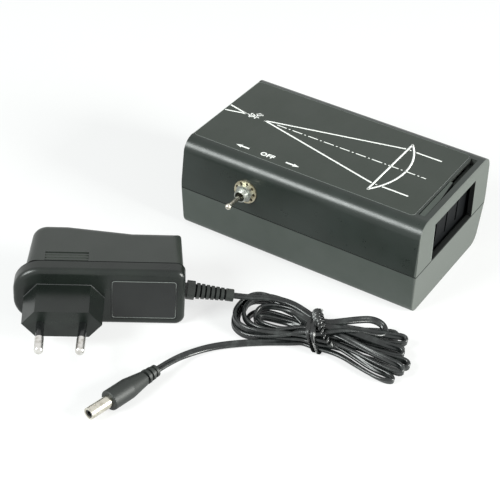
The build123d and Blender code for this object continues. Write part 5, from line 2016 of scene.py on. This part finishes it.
@dataclass
class Driver:
    """Driver board with its choke, capacitors and terminal block, in millimetres.

    Attributes:
        choke: centre of the ring core.
        core: mean radius of the ring and the width and height of a winding's loop.
        turns: turns of wire.
        wire: diameter of the wire.
        joints: (x, y) of the solder joints under the board.
        joint: radius and height of a joint.
        crown: a joint's radius at its tip, as a share of its foot's.
        underside: height of the board's underside.
        can_top: height past which the capacitors show their bare tops.
    """

    choke: Point = (5.2, 6.0, 12.9)
    core: Point = (4.1, 4.5, 6.4)
    turns: int = 24
    wire: float = 0.5
    joints: tuple[Pair, ...] = (
        (5.2, -0.6), (5.2, 12.6), (-8.3, -9.0), (-5.8, -9.0), (3.7, -9.0), (6.2, -9.0),
        (-14.8, -2.5), (-14.8, 2.5), (-14.8, 7.5), (-14.8, 12.5), (11.5, -14.0), (11.5, -11.5),
        (13.5, 14.0), (10.5, 14.0), (-2.0, 16.0), (0.5, 16.0),
    )
    joint: Pair = (0.95, 0.9)
    crown: float = 0.35
    underside: float = 8.0
    can_top: float = 18.7

    def _winding(self) -> Tree:
        """Makes the tree that winds a ring core with wire.

        Returns:
            The tree.
        """
        t = Tree("ring_winding")
        turns, ring = t.count("Turns", 24), t.size("Ring", 0.004)
        width, height, wire = t.size("Width", 0.0045), t.size("Height", 0.0064), t.size("Wire", 0.0005)
        core = {"Curve": t.circle(64, ring), "Count": turns}
        points = t.node("GeometryNodeCurveToPoints", {"mode": "COUNT"}, core)
        corners = {"Curve": t.rectangle(width, height), "Count": 4, "Radius": wire * 1.6}
        bent = t.out(t.node("GeometryNodeFilletCurve", {"mode": "POLY"}, corners))
        loop = t.swept(bent, t.circle(8, wire * 0.5), capped=False)
        wound = t.repeated(t.out(points, "Points"), loop, Rotation=t.out(points, "Rotation"))
        return t.end(t.smooth(t.moved(wound, t.spot())))

    def build(self, solder: bpy.types.Material) -> None:
        """Builds the choke's winding and the solder joints.

        Args:
            solder: material of the joints.
        """
        copper = PlatedMetal((0.62, 0.26, 0.12), (0.42, 0.17, 0.08), 0.25, 0.0006)
        ring, width, height = self.core
        values = {"Material": copper.material("enamelled_copper"), "Turns": self.turns, "Ring": ring * MM}
        values |= {"Width": width * MM, "Height": height * MM, "Wire": self.wire * MM, **at(self.choke)}
        winding = grow("choke_winding", self._winding(), spots("winding_seed"), values)
        cones = spots("joint_seed", metres((x, -y, -self.underside) for x, y in self.joints))
        radius, height = self.joint
        values = {"Material": solder, "Radius": radius * MM, "Height": height * MM, "Crown": self.crown}
        joints = grow("driver_joints", stud_tree(), cones, values)
        joints.data.transform(Matrix.Rotation(math.pi, 4, "X"))
        finished(winding)
        finished(joints)

    def dress(self, nodes: Nodes) -> None:
        """Dresses the driver.

        Args:
            nodes: the frame's solids by name.
        """
        board = MouldedPlastic((0.02, 0.11, 0.045), (0.03, 0.15, 0.06), 0.3)
        put(nodes, board, "solder_mask", "driver_board", "supply_board")
        ferrite = MouldedPlastic((0.05, 0.05, 0.05), (0.08, 0.08, 0.075), 0.7)
        put(nodes, ferrite, "ferrite", "driver_choke")
        can = Patch((None, None, self.can_top), (None, None, None), (0.62, 0.63, 0.64), 0.35, 0.9)
        sleeve = MouldedPlastic((0.012, 0.016, 0.03), (0.016, 0.02, 0.036), 0.3, patches=(can,))
        put(nodes, sleeve, "capacitor_sleeve", "driver_capacitors")
        nylon = MouldedPlastic((0.03, 0.07, 0.22), (0.04, 0.09, 0.26), 0.4)
        put(nodes, nylon, "terminal_nylon", "driver_terminals")
        wires = MouldedPlastic((0.35, 0.02, 0.02), (0.42, 0.03, 0.03), 0.4)
        put(nodes, wires, "wire_red", "socket_wires", "lamp_wires")


# ---------------------------------------------------------------- the supply
@dataclass
class Supply:
    """The plug-in supply: shells, snout, rating plate and what is inside, in millimetres.

    Attributes:
        origin: its frame's origin on the table.
        yaw: turn of the frame in degrees.
        parting: depth of the joint between the shells.
        face: depth of the front face.
        middle: height of the pins.
        snout: half width, half flat width and half height of the hexagon at its root.
        plate: left, right, low and high edge of the rating plate.
        line: how far the plate's border line lies inside its edge, its corner radius and its radius.
        bead: radius of the bead round the snout's root.
        grip: left edge, right edge, floor height and depth of the finger grip.
        relief: point of the strain relief's axis at its root.
        relief_axis: direction of the strain relief.
        ribs: distances along the strain relief of its first groove and its end collar, the grooves'
            pitch and their width.
    """

    origin: Pair = (-53.2, -149.31)
    yaw: float = 33.55
    parting: float = 26.7
    face: float = 19.2
    middle: float = 15.0
    snout: Point = (18.07, 11.94, 7.19)
    plate: Quad = (20.6, 50.6, 3.4, 25.2)
    line: Point = (0.75, 1.2, 0.12)
    bead: float = 0.2
    grip: Quad = (-9.0, 10.5, 29.1, 33.2)
    relief: Point = (-22.286, -96.772, 15.0)
    relief_axis: Point = (0.8257, 0.5475, -0.1357)
    ribs: Quad = (3.6, 18.0, 2.231, 0.88)

    def _place(self, along: float, deep: float, up: float) -> Point:
        """Finds a point of the supply's frame in the set.

        Args:
            along: distance along the supply's face, in millimetres.
            deep: distance into it.
            up: height above the table.

        Returns:
            The point, in metres.
        """
        c, s = math.cos(math.radians(self.yaw)), math.sin(math.radians(self.yaw))
        x, y = self.origin
        return ((x + along * c - deep * s) * MM, (y + along * s + deep * c) * MM, up * MM)

    def build(self) -> None:
        """Builds the plate's border line and the bead round the snout's root."""
        wire = wire_tree()
        left, right, low, high = self.plate
        inset, corner, radius = self.line
        corners = rounded(right - left - 2 * inset, high - low - 2 * inset, corner)
        across, up = (left + right) / 2, (low + high) / 2
        line = [self._place(across + x, self.face + 0.02, up + y) for x, y in corners]
        values = {"Material": Ink.FAINT.value.material("plate_line"), "Radius": radius * MM}
        border = grow("plate_border", wire, paths("plate_line", [line], True), values)
        wide, flat, tall = self.snout
        hexagon = [(-wide, 0.0), (-flat, tall), (flat, tall), (wide, 0.0), (flat, -tall), (-flat, -tall)]
        root = [self._place(x, self.face - 0.05, self.middle + y) for x, y in hexagon]
        black = MouldedPlastic((0.02, 0.022, 0.022), (0.026, 0.028, 0.028), 0.5, depth=0.00001)
        values = {"Material": black.material("bead_black"), "Radius": self.bead * MM}
        bead = grow("snout_bead", wire, paths("snout_root", [root], True), values)
        finished(border)
        finished(bead)

    def _dress_shells(self, nodes: Nodes) -> None:
        """Gives the two shells their plastic, with painted shade in their joint and painted light in the
        finger grip.

        Args:
            nodes: the frame's solids by name.
        """
        frame = {"origin": self.origin, "yaw": self.yaw}
        # Painted shade: a dark band along the joint between the shells, with no sheen.
        joint = Patch((None, self.parting - 0.45, None), (None, self.parting + 0.35, None), **frame)
        left, right, low, deep = self.grip
        start, stop = (left, self.parting + 0.5, None), (right, deep, low + 0.3)
        # Painted light in the finger grip: paler, so that the shade in its grooves shows less.
        grip = Patch(start, stop, (0.05, 0.056, 0.05), 0.5, 0.0, **frame)
        front = MouldedPlastic(
            (0.005, 0.007, 0.006), (0.008, 0.011, 0.009), 0.3, 0.0004, 0.00002, 0.4, 0.25, (joint,)
        )
        put(nodes, front, "supply_black", "supply_front_shell")
        back = MouldedPlastic(
            (0.017, 0.021, 0.018), (0.021, 0.025, 0.022), 0.36, 0.0004, 0.00003, 0.45, 0.25, (joint, grip)
        )
        put(nodes, back, "supply_black_back", "supply_back_shell")

    def dress(self, nodes: Nodes) -> None:
        """Dresses the supply and the plug.

        Args:
            nodes: the frame's solids by name.
        """
        self._dress_shells(nodes)
        smooth = MouldedPlastic(
            (0.006, 0.007, 0.007), (0.009, 0.010, 0.010), 0.2, 0.0004, 0.00001, 0.45, 0.15
        )
        put(nodes, smooth, "sleeve_black", "pin_sleeves", "supply_socket", "supply_reservoirs")
        rubber = MouldedPlastic(
            (0.010, 0.012, 0.011), (0.014, 0.017, 0.015), 0.36, 0.0005, 0.00002, 0.45, 0.2
        )
        put(nodes, replace(rubber, roughness=0.5), "soft_black", "plug_body")
        # Painted shade in the grooves between the strain relief's ribs.
        grooves = GrooveShade(self.relief, self.relief_axis, *self.ribs)
        ribbed = replace(rubber, roughness=0.3, patches=(grooves,))
        put(nodes, ribbed, "ribbed_black", "supply_strain_relief")
        rating = MouldedPlastic(
            (0.009, 0.010, 0.010), (0.012, 0.013, 0.013), 0.36, 0.0003, 0.00001, 0.35, 0.2
        )
        put(nodes, rating, "rating_film", "rating_plate")
        liner = MouldedPlastic((0.012, 0.012, 0.012), (0.018, 0.018, 0.018), 0.35)
        put(nodes, liner, "liner_black", "plug_liner")
        tape = Patch((None, None, 9.0), (None, None, 21.0), (0.62, 0.42, 0.06), 0.3, 0.0)
        core = MouldedPlastic((0.045, 0.045, 0.048), (0.07, 0.07, 0.07), 0.6, patches=(tape,))
        put(nodes, core, "transformer_core", "supply_transformer")


def main() -> None:
    """Builds the pieces in order."""
    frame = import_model()
    nodes = frame["nodes"]
    Stage().build()
    sheath = CordSheath().material("cord_sheath")
    coat = CordSheath((0.009, 0.010, 0.010), (0.03, 0.032, 0.031), 0.28)
    tie = TwistTie().build(coat.material("tie_sheath"))
    Lead().build(sheath, tie)
    Case().dress(nodes)
    marks = SheetPrint()
    marks.dress(nodes)
    marks.build()
    toggle = Toggle()
    toggle.build(toggle.dress(nodes))
    solder = PlatedMetal((0.72, 0.73, 0.74), (0.55, 0.56, 0.57), 0.2).material("solder")
    for part in (Optics(), Driver()):
        part.dress(nodes)
        part.build(solder)
    supply = Supply()
    supply.dress(nodes)
    supply.build()
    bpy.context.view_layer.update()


if __name__ == "__main__":
    logging.basicConfig(level=logging.INFO, format="%(name)s: %(message)s")
    main()
